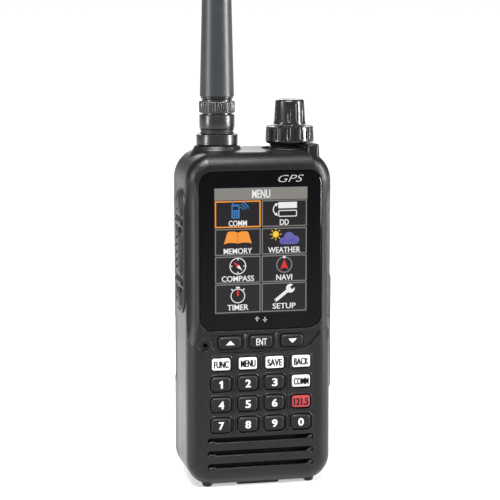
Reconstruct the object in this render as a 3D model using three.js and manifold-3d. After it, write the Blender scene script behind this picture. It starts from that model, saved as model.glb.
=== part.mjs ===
// A handheld aviation radio: splash-proof case, colour display, sprung keys, two concentric
// knobs, a screw-on antenna, a talk key on the left, socket covers on the right and a clip-in
// battery on the back. Millimetres. +Z is up, the front faces -Y, +X is the user's right.
// The origin is on the surface the radio stands on, under the middle of its case.
import * as THREE from "three";
import { mergeVertices } from "three/addons/utils/BufferGeometryUtils.js";
import Module from "manifold-3d";

const wasm = await Module();
wasm.setup();

// ---------------------------------------------------------------- driving dimensions

const GAP = 0.3; // clearance between pieces that sit against each other
const PAST = 1; // how far a cutter runs beyond the face it opens

// Case
const CASE_W = 57.8;
const CASE_D = 35;
const CASE_BOTTOM = 0.8; // the feet make up the rest
const CASE_TOP = 132;
const FOOT_CORNER_R = 10; // bottom corners seen from the front
const SHOULDER_R = 12; // top corners seen from the front
const EDGE_R = 6; // rounding round the front face
const HOLLOW_R = 3.2; // rounding inside the front case
const BACK_CORNER_R = 6; // upright edges at the back
const TOP_FRONT_R = 7;
const SIDE_WALL = 1.8;
const FRONT_WALL = 2.4;
const PARTING_Y = 5; // the front case ends here below the head
const HEAD_Z = CASE_TOP - 13.8; // above this the front case runs further back, under the knobs
const HEAD_PARTING_Y = 11.8;
const CHASSIS_T = 2.2;
const CHASSIS_HEAD_Z = CASE_TOP - 20; // the chassis closes over the battery here
const HEAD_WALL = 2;
const WAIST_LOW = 63; // the upright front edges are cut back between these heights
const WAIST_HIGH = CASE_TOP - 13;
const WAIST_CUT = 4.4;
const WAIST_SLOPE = 2.6; // run of the cut's ends for each millimetre of depth
const FOOT_X = 20.5;
const FOOT_Y = 13;
const FOOT_R = 1.7;
const PAD_W = 17; // middle pad under the case
const PAD_DROP = 0.7;

// Display
const DISPLAY_Z = 93.8;
const LENS_W = 48.1;
const LENS_H = 61.7;
const LENS_R = 5.3;
const LENS_T = 1.1;
const LENS_SUNK = 0.25;
const VIEW_W = 38;
const VIEW_H = 50;
const LCD_FRAME = 2.4; // border of the display unit outside its view
const LCD_T = 2.4;

// Keys: four columns of digits, a row of four light keys, and three under the display
const KEY_PITCH_X = 10.65;
const KEY_PITCH_Z = 8.2;
const DIGIT_W = 8.5;
const DIGIT_H = 6.3;
const LIGHT_W = 7.7;
const LIGHT_H = 5;
const NAV_W = 9.1;
const NAV_H = 5.6;
const NAV_PITCH = 12.4;
const NAV_Z = 58.1;
const LIGHT_ROW_Z = 49.7;
const DIGIT_ROW_Z = 41.8;
const KEY_PROUD = 0.7;
const KEY_CORNER_R = 1.5;
const KEY_CLEAR = 0.25;
const KEY_LIP = 0.65;
const KEY_LIP_T = 0.7;
const KEY_TRAVEL = 0.8;
const MOAT_W = 0.5; // sunk border round each key
const MOAT_DEPTH = 0.6;
const MAT_T = 0.8;

// Sound
const SLOT_W = 42.4;
const SLOT_H = 3.1;
const SLOT_PITCH = 5.15;
const SLOT_COUNT = 3;
const SLOT_MIDDLE_Z = 13.75;
const SPEAKER_W = 40;
const SPEAKER_H = 14;
const SPEAKER_RIM_T = 2.2;
const MAGNET_R = 5.5;
const MAGNET_T = 6;
const MIC_X = -22.4;
const MIC_Z = 57.3;
const MIC_DISH_R = 2.6;
const MIC_HOLE_R = 0.9;
const MIC_R = 1.8;
const MIC_T = 2;

// Circuit boards
const BOARD_W = 41;
const BOARD_LOW = 22.6;
const BOARD_HIGH = 116;
const BOARD_T = 1.2;
const SHIELD_W = 34;
const SHIELD_H = 46;
const SHIELD_T = 3.2;

// Knobs, one inside the other on two shafts
const KNOB_X = 15.4;
const WELL_R = 11.2;
const WELL_DEPTH = 1;
const SEAT_R = 8.3;
const SEAT_TOP = CASE_TOP + 1.6;
const RING_R = 9.6;
const RING_H = 6.9;
const RING_FLUTES = 10;
const CAP_R = 6.4;
const CAP_H = 9.8;
const CAP_FLUTES = 12;
const FLUTE_R = 1.2;
const FLUTE_DEPTH = 0.45;
const OUTER_SHAFT_R = 3;
const INNER_SHAFT_R = 1.5;
const ENCODER_W = 9.6;
const ENCODER_H = 7;
const BUSH_R = 4.5;
const HORN_TOP = CASE_TOP + 2.5; // the guard beside the knobs
const HORN_ROOT = 2; // how far it runs down into the head
const HORN_INSET = 4.7;
const HORN_W = 5;
const HORN_D = 7;

// Antenna
const ANTENNA_X = -13.8;
const BOSS_R = 10;
const BOSS_TOP_R = 8.6;
const BOSS_TOP = CASE_TOP + 1.6;
const COLLAR_R = 8.1;
const COLLAR_TOP = CASE_TOP + 6;
const SEAL_R = 6.6;
const SEAL_T = 1.6;
const STUD_R = 3.1;
const STUD_FLANGE_R = 6;
const THREAD_LENGTH = 4.2;
const SLEEVE_R = 6.9;
const SLEEVE_H = 12;
const CORE_R = 2.4;
const SHEATH_R = 6.7;
const SHEATH_TIP_R = 3.2;
const SHEATH_TOP = CASE_TOP + 163;
const SHEATH_TIP_WALL = 9;

// Left side: talk key between two smaller ones in a soft pad
const PAD_LOW = 68.6;
const PAD_HIGH = 117.4;
const PAD_D = 17;
const PAD_Y = -4.3;
const PAD_PROUD = 0.9;
const INLAY_DEPTH = 0.6; // how deep the pad and the covers sit in the case
const SIDE_PROUD = 1.9; // the side keys and the cover screws stand this far out of the case
const SIDE_REACH = CASE_W / 2 + SIDE_PROUD;
const SIDE_KEY_D = 11.4;
const SIDE_LIP = 0.7;
const TALK_Z = 92.6;
const TALK_H = 19;
const TALK_TRAVEL = 1.2;
const MONITOR_Z = 111.5;
const MONITOR_H = 9.8;
const LAMP_Z = 74.4;
const LAMP_H = 7.8;
const SWITCH_BOARD_T = 1;
const SWITCH_BOARD_D = 13;

// Right side: screwed cover over the headset socket, hinged cover over the data socket
const COVER_Y = -2.2;
const COVER_D = 13;
const COVER_CORNER_R = 3;
const HEADSET_LOW = 91.6;
const HEADSET_HIGH = 120.2;
const HEADSET_PROUD = 0.9;
const COVER_SCREW_IN = 4.3; // screw centres from the cover's ends
const SCREW_HEAD_R = 2.1;
const SCREW_R = 0.95;
const SCREW_LENGTH = 4.4;
const DATA_LOW = 35;
const DATA_HIGH = 83.4;
const DATA_T = 1.3;
const DATA_BULGE = 1.1; // the flap's raised middle
const DATA_RIM = 0.8;
const SOCKET_Z = 59;
const SOCKET_W = 9;
const SOCKET_T = 3.3;
const SOCKET_DEPTH = 8;
const JACK_Z = 106;
const JACK_R = 3.2;
const JACK_BORE_R = 1.8;

// Battery
const BATTERY_LOW = 2;
const BATTERY_WALL = 1.5;
const BATTERY_TOP_R = 1.3; // also the hinge of the pack's top edge
const CELL_BAY_W = 46;
const CELL_BAY_LOW = 7;
const CELL_BAY_HIGH = 107.5;
const LID_T = 1.2;
const CELL_W = 44;
const CELL_H = 47;
const CELL_T = 5.6;
const CLIP_PAD_W = 20;
const CLIP_PAD_H = 28;
const CLIP_PAD_Z = 78;
const CLIP_PAD_PROUD = 0.7;
const LATCH_W = 12;
const LATCH_D = 4;
const LATCH_H = 2.4;
const LATCH_TRAVEL = 2.5;
const CONTACT_W = 16;
const CONTACT_H = 8;
const CONTACT_Z = 14;
const CASE_SCREW_X = 23.2;
const CASE_SCREW_Z = 30;
const BOSS_POST_R = 2.6;

// ---------------------------------------------------------------- worked out from those

const HALF_W = CASE_W / 2;
const FRONT = -CASE_D / 2;
const BACK = CASE_D / 2;
const INSIDE_FRONT = FRONT + FRONT_WALL;
const INSIDE_X = HALF_W - SIDE_WALL;
const ROOF = CASE_TOP - FRONT_WALL;
const CHASSIS_Y = PARTING_Y + GAP;
const BATTERY_Y = CHASSIS_Y + CHASSIS_T + GAP;
const BATTERY_TOP = CHASSIS_HEAD_Z - GAP;
const LIP_Y = INSIDE_FRONT + GAP;
const MAT_Y = LIP_Y + KEY_LIP_T + KEY_TRAVEL + GAP;
const BOARD_Y = Math.max(MAT_Y + MAT_T, LIP_Y + LCD_T) + 0.6;
const SHIELD_Y = BOARD_Y + BOARD_T + GAP;
const DIGIT_COLUMNS = [-1.5, -0.5, 0.5, 1.5].map((n) => n * KEY_PITCH_X);
const PAD_X = HALF_W + PAD_PROUD;
const PAD_SEAT_X = HALF_W - INLAY_DEPTH;
const SIDE_LIP_X = INSIDE_X - GAP;
const SWITCH_BOARD_X = SIDE_LIP_X - SIDE_LIP - TALK_TRAVEL - GAP;
const WELL_Z = CASE_TOP - WELL_DEPTH;
const SEAT_Z = WELL_Z + GAP;
const RING_Z = SEAT_TOP + GAP;
const CAP_Z = RING_Z + RING_H + GAP * 2;
const ENCODER_TOP = ROOF - GAP * 3;
const ENCODER_LOW = ENCODER_TOP - ENCODER_H;
const COLLAR_Z = BOSS_TOP + GAP;
const SEAL_Z = COLLAR_TOP + GAP;
const SLEEVE_Z = SEAL_Z + SEAL_T + GAP;
const STUD_TOP = SLEEVE_Z + THREAD_LENGTH;
const SHEATH_Z = SLEEVE_Z + SLEEVE_H + GAP;
const STUD_HOLE_R = STUD_R + GAP;
const SPEAKER_Z = SLOT_MIDDLE_Z;

// ---------------------------------------------------------------- helpers

const DEG = Math.PI / 180;

function roundedRect(width, height, radius, cx = 0, cy = 0) {
  const w = width / 2;
  const h = height / 2;
  const r = Math.min(radius, w - 0.01, h - 0.01);
  const shape = new THREE.Shape();
  shape.absarc(cx + w - r, cy + h - r, r, 0, 90 * DEG);
  shape.absarc(cx - w + r, cy + h - r, r, 90 * DEG, 180 * DEG);
  shape.absarc(cx - w + r, cy - h + r, r, 180 * DEG, 270 * DEG);
  shape.absarc(cx + w - r, cy - h + r, r, 270 * DEG, 360 * DEG);
  shape.closePath();
  return shape;
}

function polygon(points) {
  return new THREE.Shape(points.map(([x, y]) => new THREE.Vector2(x, y)));
}

// Three ways to give a drawn outline its depth: seen from the front (x right, y up, from
// front to back), from the right side (x rearwards, y up) and from above.
function frontSlab(shape, yFront, yBack, segments = 6, bevel = {}) {
  const options = { depth: yBack - yFront, bevelEnabled: false, curveSegments: segments };
  return new THREE.ExtrudeGeometry(shape, { ...options, ...bevel })
    .rotateX(90 * DEG)
    .translate(0, yBack, 0);
}

function sideSlab(shape, x0, x1, segments = 6) {
  const turn = new THREE.Matrix4().makeBasis(
    new THREE.Vector3(0, 1, 0),
    new THREE.Vector3(0, 0, 1),
    new THREE.Vector3(1, 0, 0),
  );
  return new THREE.ExtrudeGeometry(shape, {
    depth: x1 - x0,
    bevelEnabled: false,
    curveSegments: segments,
  })
    .applyMatrix4(turn)
    .translate(x0, 0, 0);
}

function planSlab(shape, z0, z1, segments = 6) {
  return new THREE.ExtrudeGeometry(shape, {
    depth: z1 - z0,
    bevelEnabled: false,
    curveSegments: segments,
  }).translate(0, 0, z0);
}

function block([x0, x1], [y0, y1], [z0, z1]) {
  return new THREE.BoxGeometry(x1 - x0, y1 - y0, z1 - z0).translate(
    (x0 + x1) / 2,
    (y0 + y1) / 2,
    (z0 + z1) / 2,
  );
}

function upright(radius, z0, z1, x = 0, y = 0, segments = 24, topRadius = radius) {
  return new THREE.CylinderGeometry(topRadius, radius, z1 - z0, segments)
    .rotateX(90 * DEG)
    .translate(x, y, (z0 + z1) / 2);
}

function alongX(radius, x0, x1, y, z, segments = 16) {
  return new THREE.CylinderGeometry(radius, radius, x1 - x0, segments)
    .rotateZ(-90 * DEG)
    .translate((x0 + x1) / 2, y, z);
}

function alongY(radius, y0, y1, x, z, segments = 16) {
  return new THREE.CylinderGeometry(radius, radius, y1 - y0, segments).translate(
    x,
    (y0 + y1) / 2,
    z,
  );
}

// A turned piece: points are [radius, height], and the profile starts and ends on the axis
// or closes on itself.
function turned(points, segments = 24) {
  return new THREE.LatheGeometry(
    points.map(([r, z]) => new THREE.Vector2(r, z)),
    segments,
  ).rotateX(90 * DEG);
}

// A three.js geometry as a solid that can be joined and cut.
function solid(geometry) {
  const bare = new THREE.BufferGeometry().setAttribute(
    "position",
    geometry.getAttribute("position"),
  );
  if (geometry.index) bare.setIndex(geometry.index);
  const merged = mergeVertices(bare, 1e-4);
  const index = merged.index.array;
  const triangles = [];
  for (let i = 0; i < index.length; i += 3) {
    const [a, b, c] = [index[i], index[i + 1], index[i + 2]];
    if (a !== b && b !== c && c !== a) triangles.push(a, b, c);
  }
  return new wasm.Manifold(
    new wasm.Mesh({
      numProp: 3,
      vertProperties: merged.attributes.position.array,
      triVerts: new Uint32Array(triangles),
    }),
  );
}

const join = (first, ...rest) => rest.reduce((a, b) => a.add(solid(b)), solid(first));
const cut = (from, ...cutters) => cutters.reduce((a, b) => a.subtract(solid(b)), from);
const keep = (from, geometry) => from.intersect(solid(geometry));

function geometryOf(made) {
  const { numProp, vertProperties, triVerts } = made.getMesh();
  const position = new Float32Array((vertProperties.length / numProp) * 3);
  for (let i = 0; i < position.length / 3; i++)
    position.set(vertProperties.subarray(i * numProp, i * numProp + 3), i * 3);
  const geometry = new THREE.BufferGeometry();
  geometry.setAttribute("position", new THREE.BufferAttribute(position, 3));
  geometry.setIndex(new THREE.BufferAttribute(triVerts, 1));
  const flat = geometry.toNonIndexed();
  flat.computeVertexNormals();
  return flat;
}

// ---------------------------------------------------------------- materials

const finish = (color, roughness, metalness = 0) =>
  new THREE.MeshStandardMaterial({ color, roughness, metalness });
const casePlastic = () => finish(0x2b2d30, 0.62);
const knobPlastic = () => finish(0x1d2023, 0.3);
const keyRubber = () => finish(0x25282c, 0.45);
const lightRubber = () => finish(0xf2f2f0, 0.5);
const redRubber = () => finish(0xd8343a, 0.5);
const softRubber = () => finish(0x222426, 0.7);
const blackGlass = () => finish(0x0a0a0c, 0.08);
const brass = () => finish(0xc49a4a, 0.35, 1);
const steel = () => finish(0x8a8078, 0.35, 1);
const boardGreen = () => finish(0x1f5a35, 0.5);
const cellWrap = () => finish(0x2f4f8f, 0.5);

const radio = new THREE.Group();

function add(name, shape, material, parent = radio) {
  const geometry = shape.isBufferGeometry ? shape : geometryOf(shape);
  const mesh = new THREE.Mesh(geometry, material);
  mesh.name = name;
  parent.add(mesh);
  return mesh;
}

// ---------------------------------------------------------------- case shells

// The case seen from the front, from the side and from above, each taken in by an inset.
function frontOutline(inset = 0) {
  const w = HALF_W - inset;
  const low = CASE_BOTTOM + inset;
  const high = CASE_TOP - inset;
  const foot = FOOT_CORNER_R - inset;
  const shoulder = SHOULDER_R - inset;
  const shape = new THREE.Shape();
  shape.absarc(w - shoulder, high - shoulder, shoulder, 0, 90 * DEG);
  shape.absarc(-w + shoulder, high - shoulder, shoulder, 90 * DEG, 180 * DEG);
  shape.absarc(-w + foot, low + foot, foot, 180 * DEG, 270 * DEG);
  shape.absarc(w - foot, low + foot, foot, 270 * DEG, 360 * DEG);
  shape.closePath();
  return shape;
}

function sideOutline() {
  const shape = new THREE.Shape();
  const topFront = FRONT + TOP_FRONT_R;
  shape.absarc(BACK - EDGE_R, CASE_TOP - EDGE_R, EDGE_R, 0, 90 * DEG);
  shape.absarc(topFront, CASE_TOP - TOP_FRONT_R, TOP_FRONT_R, 90 * DEG, 180 * DEG);
  shape.absarc(FRONT + EDGE_R, CASE_BOTTOM + EDGE_R, EDGE_R, 180 * DEG, 270 * DEG);
  shape.absarc(BACK - EDGE_R, CASE_BOTTOM + EDGE_R, EDGE_R, 270 * DEG, 360 * DEG);
  shape.closePath();
  return shape;
}

function planOutline() {
  const shape = new THREE.Shape();
  const back = BACK_CORNER_R;
  shape.absarc(HALF_W - back, BACK - back, back, 0, 90 * DEG);
  shape.absarc(-HALF_W + back, BACK - back, back, 90 * DEG, 180 * DEG);
  shape.lineTo(-HALF_W, FRONT);
  shape.lineTo(HALF_W, FRONT);
  shape.closePath();
  return shape;
}

// The whole outer shape before it is parted into front case, chassis and battery.
function outerBlock() {
  const rolled = {
    depth: CASE_D - 2 * EDGE_R,
    bevelEnabled: true,
    bevelThickness: EDGE_R,
    bevelSize: EDGE_R,
    bevelOffset: -EDGE_R,
    bevelSegments: 3,
  };
  const body = frontSlab(frontOutline(), 0, 0, 5, rolled).translate(0, BACK - EDGE_R, 0);
  let made = keep(solid(body), sideSlab(sideOutline(), -CASE_W, CASE_W, 5));
  made = keep(made, planSlab(planOutline(), CASE_BOTTOM - PAST, CASE_TOP + PAST, 5));
  for (const side of [-1, 1]) made = cut(made, waistCutter(side));
  return made;
}

// The slanted cut along an upright front edge; its two ends slope out.
function waistCutter(side) {
  const depth = WAIST_CUT * 2;
  const run = depth * WAIST_SLOPE;
  const wedge = polygon([
    [0, WAIST_LOW],
    [0, WAIST_HIGH],
    [-depth, WAIST_HIGH + run],
    [-depth, WAIST_LOW - run],
  ]);
  return sideSlab(wedge, -CASE_D / 2, CASE_D / 2)
    .rotateZ(side * 45 * DEG)
    .translate(side * (HALF_W - WAIST_CUT / 2), FRONT + WAIST_CUT / 2, 0);
}

// The hollow inside the front case, open at the back.
function frontHollow() {
  const rolled = {
    depth: CASE_D,
    bevelEnabled: true,
    bevelThickness: HOLLOW_R,
    bevelSize: HOLLOW_R,
    bevelOffset: -HOLLOW_R,
    bevelSegments: 2,
  };
  const hollow = frontSlab(frontOutline(SIDE_WALL), 0, 0, 3, rolled).translate(
    0,
    INSIDE_FRONT + HOLLOW_R + CASE_D,
    0,
  );
  const under = block([-CASE_W, CASE_W], [FRONT, CASE_D * 2], [0, ROOF]);
  return keep(solid(hollow), under);
}

const FRONT_KEYS = frontKeys();

function frontKeys() {
  const keys = [];
  const place = (name, x, z, w, h, material) => keys.push({ name, x, z, w, h, material });
  ["key_up", "key_enter", "key_down"].forEach((name, n) => {
    place(name, (n - 1) * NAV_PITCH, NAV_Z, NAV_W, NAV_H, keyRubber);
  });
  ["key_func", "key_menu", "key_save", "key_back"].forEach((name, n) => {
    place(name, DIGIT_COLUMNS[n], LIGHT_ROW_Z, LIGHT_W, LIGHT_H, lightRubber);
  });
  ["key_1", "key_2", "key_3", "key_comm", "key_4", "key_5", "key_6", "key_emergency"]
    .concat(["key_7", "key_8", "key_9", "key_0"])
    .forEach((name, n) => {
      const z = DIGIT_ROW_Z - Math.floor(n / 4) * KEY_PITCH_Z;
      const x = DIGIT_COLUMNS[n % 4];
      if (name === "key_comm") place(name, x, z, LIGHT_W, LIGHT_H, lightRubber);
      else if (name === "key_emergency") place(name, x, z, LIGHT_W, LIGHT_H, redRubber);
      else place(name, x, z, DIGIT_W, DIGIT_H, keyRubber);
    });
  return keys;
}

function keyOutline({ x, z, w, h }, grow) {
  return roundedRect(w + 2 * grow, h + 2 * grow, KEY_CORNER_R + grow * 0.5, x, z);
}

function cutKeyOpenings(body) {
  let made = body;
  for (const key of FRONT_KEYS) {
    const moat = keyOutline(key, KEY_CLEAR + MOAT_W);
    const opening = keyOutline(key, KEY_CLEAR);
    made = cut(made, frontSlab(moat, FRONT - PAST, FRONT + MOAT_DEPTH, 1));
    made = cut(made, frontSlab(opening, FRONT - PAST, INSIDE_FRONT + PAST, 1));
  }
  return made;
}

function cutDisplayWindow(body) {
  const seat = roundedRect(LENS_W + GAP, LENS_H + GAP, LENS_R, 0, DISPLAY_Z);
  const view = roundedRect(VIEW_W, VIEW_H, 1, 0, DISPLAY_Z);
  return cut(
    body,
    frontSlab(seat, FRONT - PAST, FRONT + LENS_SUNK + LENS_T + GAP, 4),
    frontSlab(view, FRONT - PAST, INSIDE_FRONT + PAST, 1),
  );
}

function cutSoundSlots(body) {
  let made = body;
  for (let n = 0; n < SLOT_COUNT; n += 1) {
    const z = SLOT_MIDDLE_Z + (n - (SLOT_COUNT - 1) / 2) * SLOT_PITCH;
    const slot = roundedRect(SLOT_W, SLOT_H, SLOT_H / 2, 0, z);
    made = cut(made, frontSlab(slot, FRONT - PAST, INSIDE_FRONT + PAST, 2));
  }
  return cut(
    made,
    alongY(MIC_DISH_R, FRONT - PAST, FRONT + MOAT_DEPTH, MIC_X, MIC_Z, 12),
    alongY(MIC_HOLE_R, FRONT - PAST, INSIDE_FRONT + PAST, MIC_X, MIC_Z, 8),
  );
}

// Outlines of the side pieces, seen from the right with y to the rear.
const padOutline = (grow = 0) =>
  roundedRect(
    PAD_D + 2 * grow,
    PAD_HIGH - PAD_LOW + 2 * grow,
    PAD_D / 2 + grow,
    PAD_Y,
    (PAD_LOW + PAD_HIGH) / 2,
  );

const SIDE_KEYS = [
  { name: "ptt_button", z: TALK_Z, h: TALK_H },
  { name: "monitor_button", z: MONITOR_Z, h: MONITOR_H },
  { name: "lamp_button", z: LAMP_Z, h: LAMP_H },
];

const sideKeyOutline = ({ z, h }, grow = 0) =>
  roundedRect(
    SIDE_KEY_D + 2 * grow,
    h + 2 * grow,
    Math.min(SIDE_KEY_D, h) * 0.42 + grow,
    PAD_Y,
    z,
  );

const coverOutline = (low, high, grow = 0) =>
  roundedRect(
    COVER_D + 2 * grow,
    high - low + 2 * grow,
    COVER_CORNER_R + grow,
    COVER_Y,
    (low + high) / 2,
  );

const COVER_SCREWS = [
  { name: "jack_screw_upper", z: HEADSET_HIGH - COVER_SCREW_IN },
  { name: "jack_screw_lower", z: HEADSET_LOW + COVER_SCREW_IN },
];

function cutSides(body) {
  const outside = CASE_W;
  let made = cut(
    body,
    sideSlab(padOutline(GAP), -outside, -PAD_SEAT_X + GAP, 4),
    sideSlab(coverOutline(HEADSET_LOW, HEADSET_HIGH, GAP), PAD_SEAT_X - GAP, outside, 2),
    sideSlab(coverOutline(DATA_LOW, DATA_HIGH, GAP), PAD_SEAT_X - GAP, outside, 2),
  );
  for (const key of SIDE_KEYS)
    made = cut(made, sideSlab(sideKeyOutline(key, GAP), -outside, -INSIDE_X + PAST, 2));
  for (const { z } of COVER_SCREWS)
    made = cut(made, alongX(SCREW_R + GAP, INSIDE_X - PAST, outside, COVER_Y, z, 8));
  const mouth = roundedRect(SOCKET_T + 1, SOCKET_W + 1, 2, COVER_Y, SOCKET_Z);
  made = cut(made, sideSlab(mouth, INSIDE_X - PAST, outside, 2));
  for (const n of [-1, 1]) {
    const z = JACK_Z + n * (JACK_R + 1.4);
    made = cut(made, alongX(JACK_R + GAP, INSIDE_X - PAST, outside, COVER_Y, z, 12));
  }
  return made;
}

// Boss under the antenna, well round the knobs and the guard beside them.
function addTop(body) {
  const boss = upright(BOSS_R, ROOF + GAP, BOSS_TOP, ANTENNA_X, 0, 20, BOSS_TOP_R);
  const right = HALF_W - HORN_INSET;
  const left = right - HORN_W;
  const front = FRONT + TOP_FRONT_R / 2;
  const guard = polygon([
    [left, front + 1.5],
    [left + 1.5, front],
    [right - 3, front],
    [right, front + 3],
    [right, front + HORN_D],
    [left, front + HORN_D],
  ]);
  let made = body.add(solid(planSlab(guard, ROOF - HORN_ROOT, HORN_TOP)));
  made = keep(made, trimmedTop());
  made = made.add(solid(boss));
  return cut(
    made,
    upright(WELL_R, WELL_Z, HORN_TOP + PAST, KNOB_X, 0, 24),
    upright(BUSH_R + GAP, ROOF - PAST, CASE_TOP, KNOB_X, 0, 16),
    upright(STUD_HOLE_R, ROOF - PAST, BOSS_TOP + PAST, ANTENNA_X, 0, 16),
  );
}

// Keeps the guard inside the rounded shoulder.
function trimmedTop() {
  const right = HALF_W - HORN_INSET;
  const shape = polygon([
    [-CASE_W, 0],
    [CASE_W, 0],
    [CASE_W, CASE_TOP - 3],
    [right, CASE_TOP],
    [right - 2, HORN_TOP],
    [-CASE_W, HORN_TOP],
  ]);
  return frontSlab(shape, -CASE_D, CASE_D);
}

function addFeet(body) {
  const bottom = CASE_BOTTOM + SIDE_WALL / 2;
  let made = body;
  for (const side of [-1, 1])
    made = made.add(solid(upright(FOOT_R, 0, bottom, side * FOOT_X, -FOOT_Y + 1, 12)));
  const half = PAD_W / 2;
  const low = CASE_BOTTOM - PAD_DROP;
  return made.add(solid(block([-half, half], [-FOOT_Y, PARTING_Y - 1], [low, bottom])));
}

function addScrewPosts(body) {
  let made = body;
  for (const side of [-1, 1]) {
    const x = side * CASE_SCREW_X;
    const depth = [PARTING_Y - 12, PARTING_Y];
    made = made.add(solid(alongY(BOSS_POST_R, depth[0], depth[1], x, CASE_SCREW_Z, 10)));
    const reach = side * (INSIDE_X + SIDE_WALL / 2);
    const rib = [Math.min(x, reach), Math.max(x, reach)];
    made = made.add(solid(block(rib, depth, [CASE_SCREW_Z - 1, CASE_SCREW_Z + 1])));
    made = cut(made, alongY(SCREW_R + GAP, depth[0] + 1, CASE_D, x, CASE_SCREW_Z, 8));
  }
  return made;
}

function frontCase(block0) {
  const lower = block([-CASE_W, CASE_W], [-CASE_D, PARTING_Y], [-PAST, CASE_TOP * 2]);
  const head = block([-CASE_W, CASE_W], [0, HEAD_PARTING_Y], [HEAD_Z + GAP, CASE_TOP * 2]);
  let made = block0.intersect(join(lower, head));
  made = made.subtract(frontHollow());
  made = cutSides(cutSoundSlots(cutDisplayWindow(cutKeyOpenings(made))));
  return addScrewPosts(addFeet(addTop(made)));
}

function rearChassis(block0) {
  const wide = [-CASE_W, CASE_W];
  const y1 = CHASSIS_Y + CHASSIS_T;
  const plate = block(wide, [CHASSIS_Y, y1], [0, HEAD_Z]);
  const shelf = block(wide, [CHASSIS_Y, CASE_D], [CHASSIS_HEAD_Z, HEAD_Z]);
  const head = block(wide, [HEAD_PARTING_Y + GAP, CASE_D], [CHASSIS_HEAD_Z, CASE_TOP * 2]);
  const room = HALF_W - SHOULDER_R + 2.2; // stays clear of the rounded shoulders
  let made = block0.intersect(join(plate, shelf, head));
  made = cut(
    made,
    block([-room, room], [0, BACK - HEAD_WALL], [CHASSIS_HEAD_Z + HEAD_WALL, ROOF]),
    block(
      [-CONTACT_W / 2 - GAP, CONTACT_W / 2 + GAP],
      [0, CASE_D],
      [CONTACT_Z - CONTACT_H / 2 - GAP, CONTACT_Z + CONTACT_H / 2 + GAP],
    ),
  );
  for (const side of [-1, 1]) {
    const x = side * CASE_SCREW_X;
    const seat = y1 - 1;
    made = cut(
      made,
      alongY(SCREW_R + GAP, 0, CASE_D, x, CASE_SCREW_Z, 12),
      alongY(SCREW_HEAD_R + GAP, seat, CASE_D, x, CASE_SCREW_Z, 16),
    );
  }
  return made;
}

// ---------------------------------------------------------------- display and keys

function addDisplay() {
  const lensY = FRONT + LENS_SUNK;
  const glass = roundedRect(LENS_W, LENS_H, LENS_R, 0, DISPLAY_Z);
  add("display_lens", frontSlab(glass, lensY, lensY + LENS_T, 6), blackGlass());
  const w = VIEW_W + 2 * LCD_FRAME;
  const h = VIEW_H + 2 * LCD_FRAME;
  const unit = roundedRect(w, h, 1, 0, DISPLAY_Z);
  add("lcd_module", frontSlab(unit, LIP_Y, LIP_Y + LCD_T, 2), finish(0x15171b, 0.4));
}

function keyBody(key) {
  const cap = frontSlab(keyOutline(key, 0), FRONT - KEY_PROUD, LIP_Y + KEY_LIP_T, 1);
  const lip = frontSlab(keyOutline(key, KEY_LIP), LIP_Y, LIP_Y + KEY_LIP_T, 1);
  return join(cap, lip);
}

function addKeys() {
  for (const key of FRONT_KEYS) add(key.name, keyBody(key), key.material());
  const last = DIGIT_ROW_Z - 2 * KEY_PITCH_Z - DIGIT_H / 2;
  const low = last - KEY_LIP;
  const high = NAV_Z + NAV_H / 2 + KEY_LIP;
  const w = 2 * (DIGIT_COLUMNS[3] + DIGIT_W / 2 + KEY_LIP);
  const sheet = frontSlab(roundedRect(w, high - low, 1, 0, (low + high) / 2), 0, MAT_T, 2);
  const mat = solid(sheet.translate(0, MAT_Y, 0));
  const notch = alongY(MIC_R + 2 * GAP, -CASE_D, CASE_D, MIC_X, MIC_Z);
  add("keypad_mat", cut(mat, notch), softRubber());
}

function sideKeyBody(key) {
  const cap = sideSlab(sideKeyOutline(key), -SIDE_REACH, -SIDE_LIP_X + SIDE_LIP, 3);
  const lip = sideSlab(sideKeyOutline(key, SIDE_LIP), -SIDE_LIP_X, -SIDE_LIP_X + SIDE_LIP, 3);
  return join(cap, lip);
}

function addSidePad() {
  let pad = solid(sideSlab(padOutline(), -PAD_X, -PAD_SEAT_X, 5));
  for (const key of SIDE_KEYS)
    pad = cut(pad, sideSlab(sideKeyOutline(key, GAP), -CASE_W, 0, 3));
  add("side_bezel", pad, softRubber());
  for (const key of SIDE_KEYS) add(key.name, sideKeyBody(key), softRubber());
  const x = -SWITCH_BOARD_X;
  const deep = [PAD_Y - SWITCH_BOARD_D / 2, PAD_Y + SWITCH_BOARD_D / 2];
  const tall = [LAMP_Z - LAMP_H / 2, MONITOR_Z + MONITOR_H / 2];
  add("side_switch_board", block([x, x + SWITCH_BOARD_T], deep, tall), boardGreen());
}

// ---------------------------------------------------------------- electronics

function addElectronics() {
  const half = BOARD_W / 2;
  const deep = [BOARD_Y, BOARD_Y + BOARD_T];
  add("main_board", block([-half, half], deep, [BOARD_LOW, BOARD_HIGH]), boardGreen());
  const can = SHIELD_W / 2;
  const tall = [DISPLAY_Z - SHIELD_H / 2, DISPLAY_Z + SHIELD_H / 2];
  const shield = block([-can, can], [SHIELD_Y, SHIELD_Y + SHIELD_T], tall);
  add("rf_shield", shield, finish(0xb9bcc0, 0.4, 1));

  const rim = roundedRect(SPEAKER_W, SPEAKER_H, SPEAKER_H / 2, 0, SPEAKER_Z);
  const cone = frontSlab(rim, LIP_Y, LIP_Y + SPEAKER_RIM_T, 6);
  const magnet = alongY(MAGNET_R, LIP_Y + 1, LIP_Y + SPEAKER_RIM_T + MAGNET_T, 0, SPEAKER_Z);
  add("speaker", join(cone, magnet), finish(0x303236, 0.5));
  const capsule = alongY(MIC_R, LIP_Y, LIP_Y + MIC_T, MIC_X, MIC_Z);
  add("microphone", capsule, finish(0xb0b0b0, 0.4, 1));
}

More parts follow.
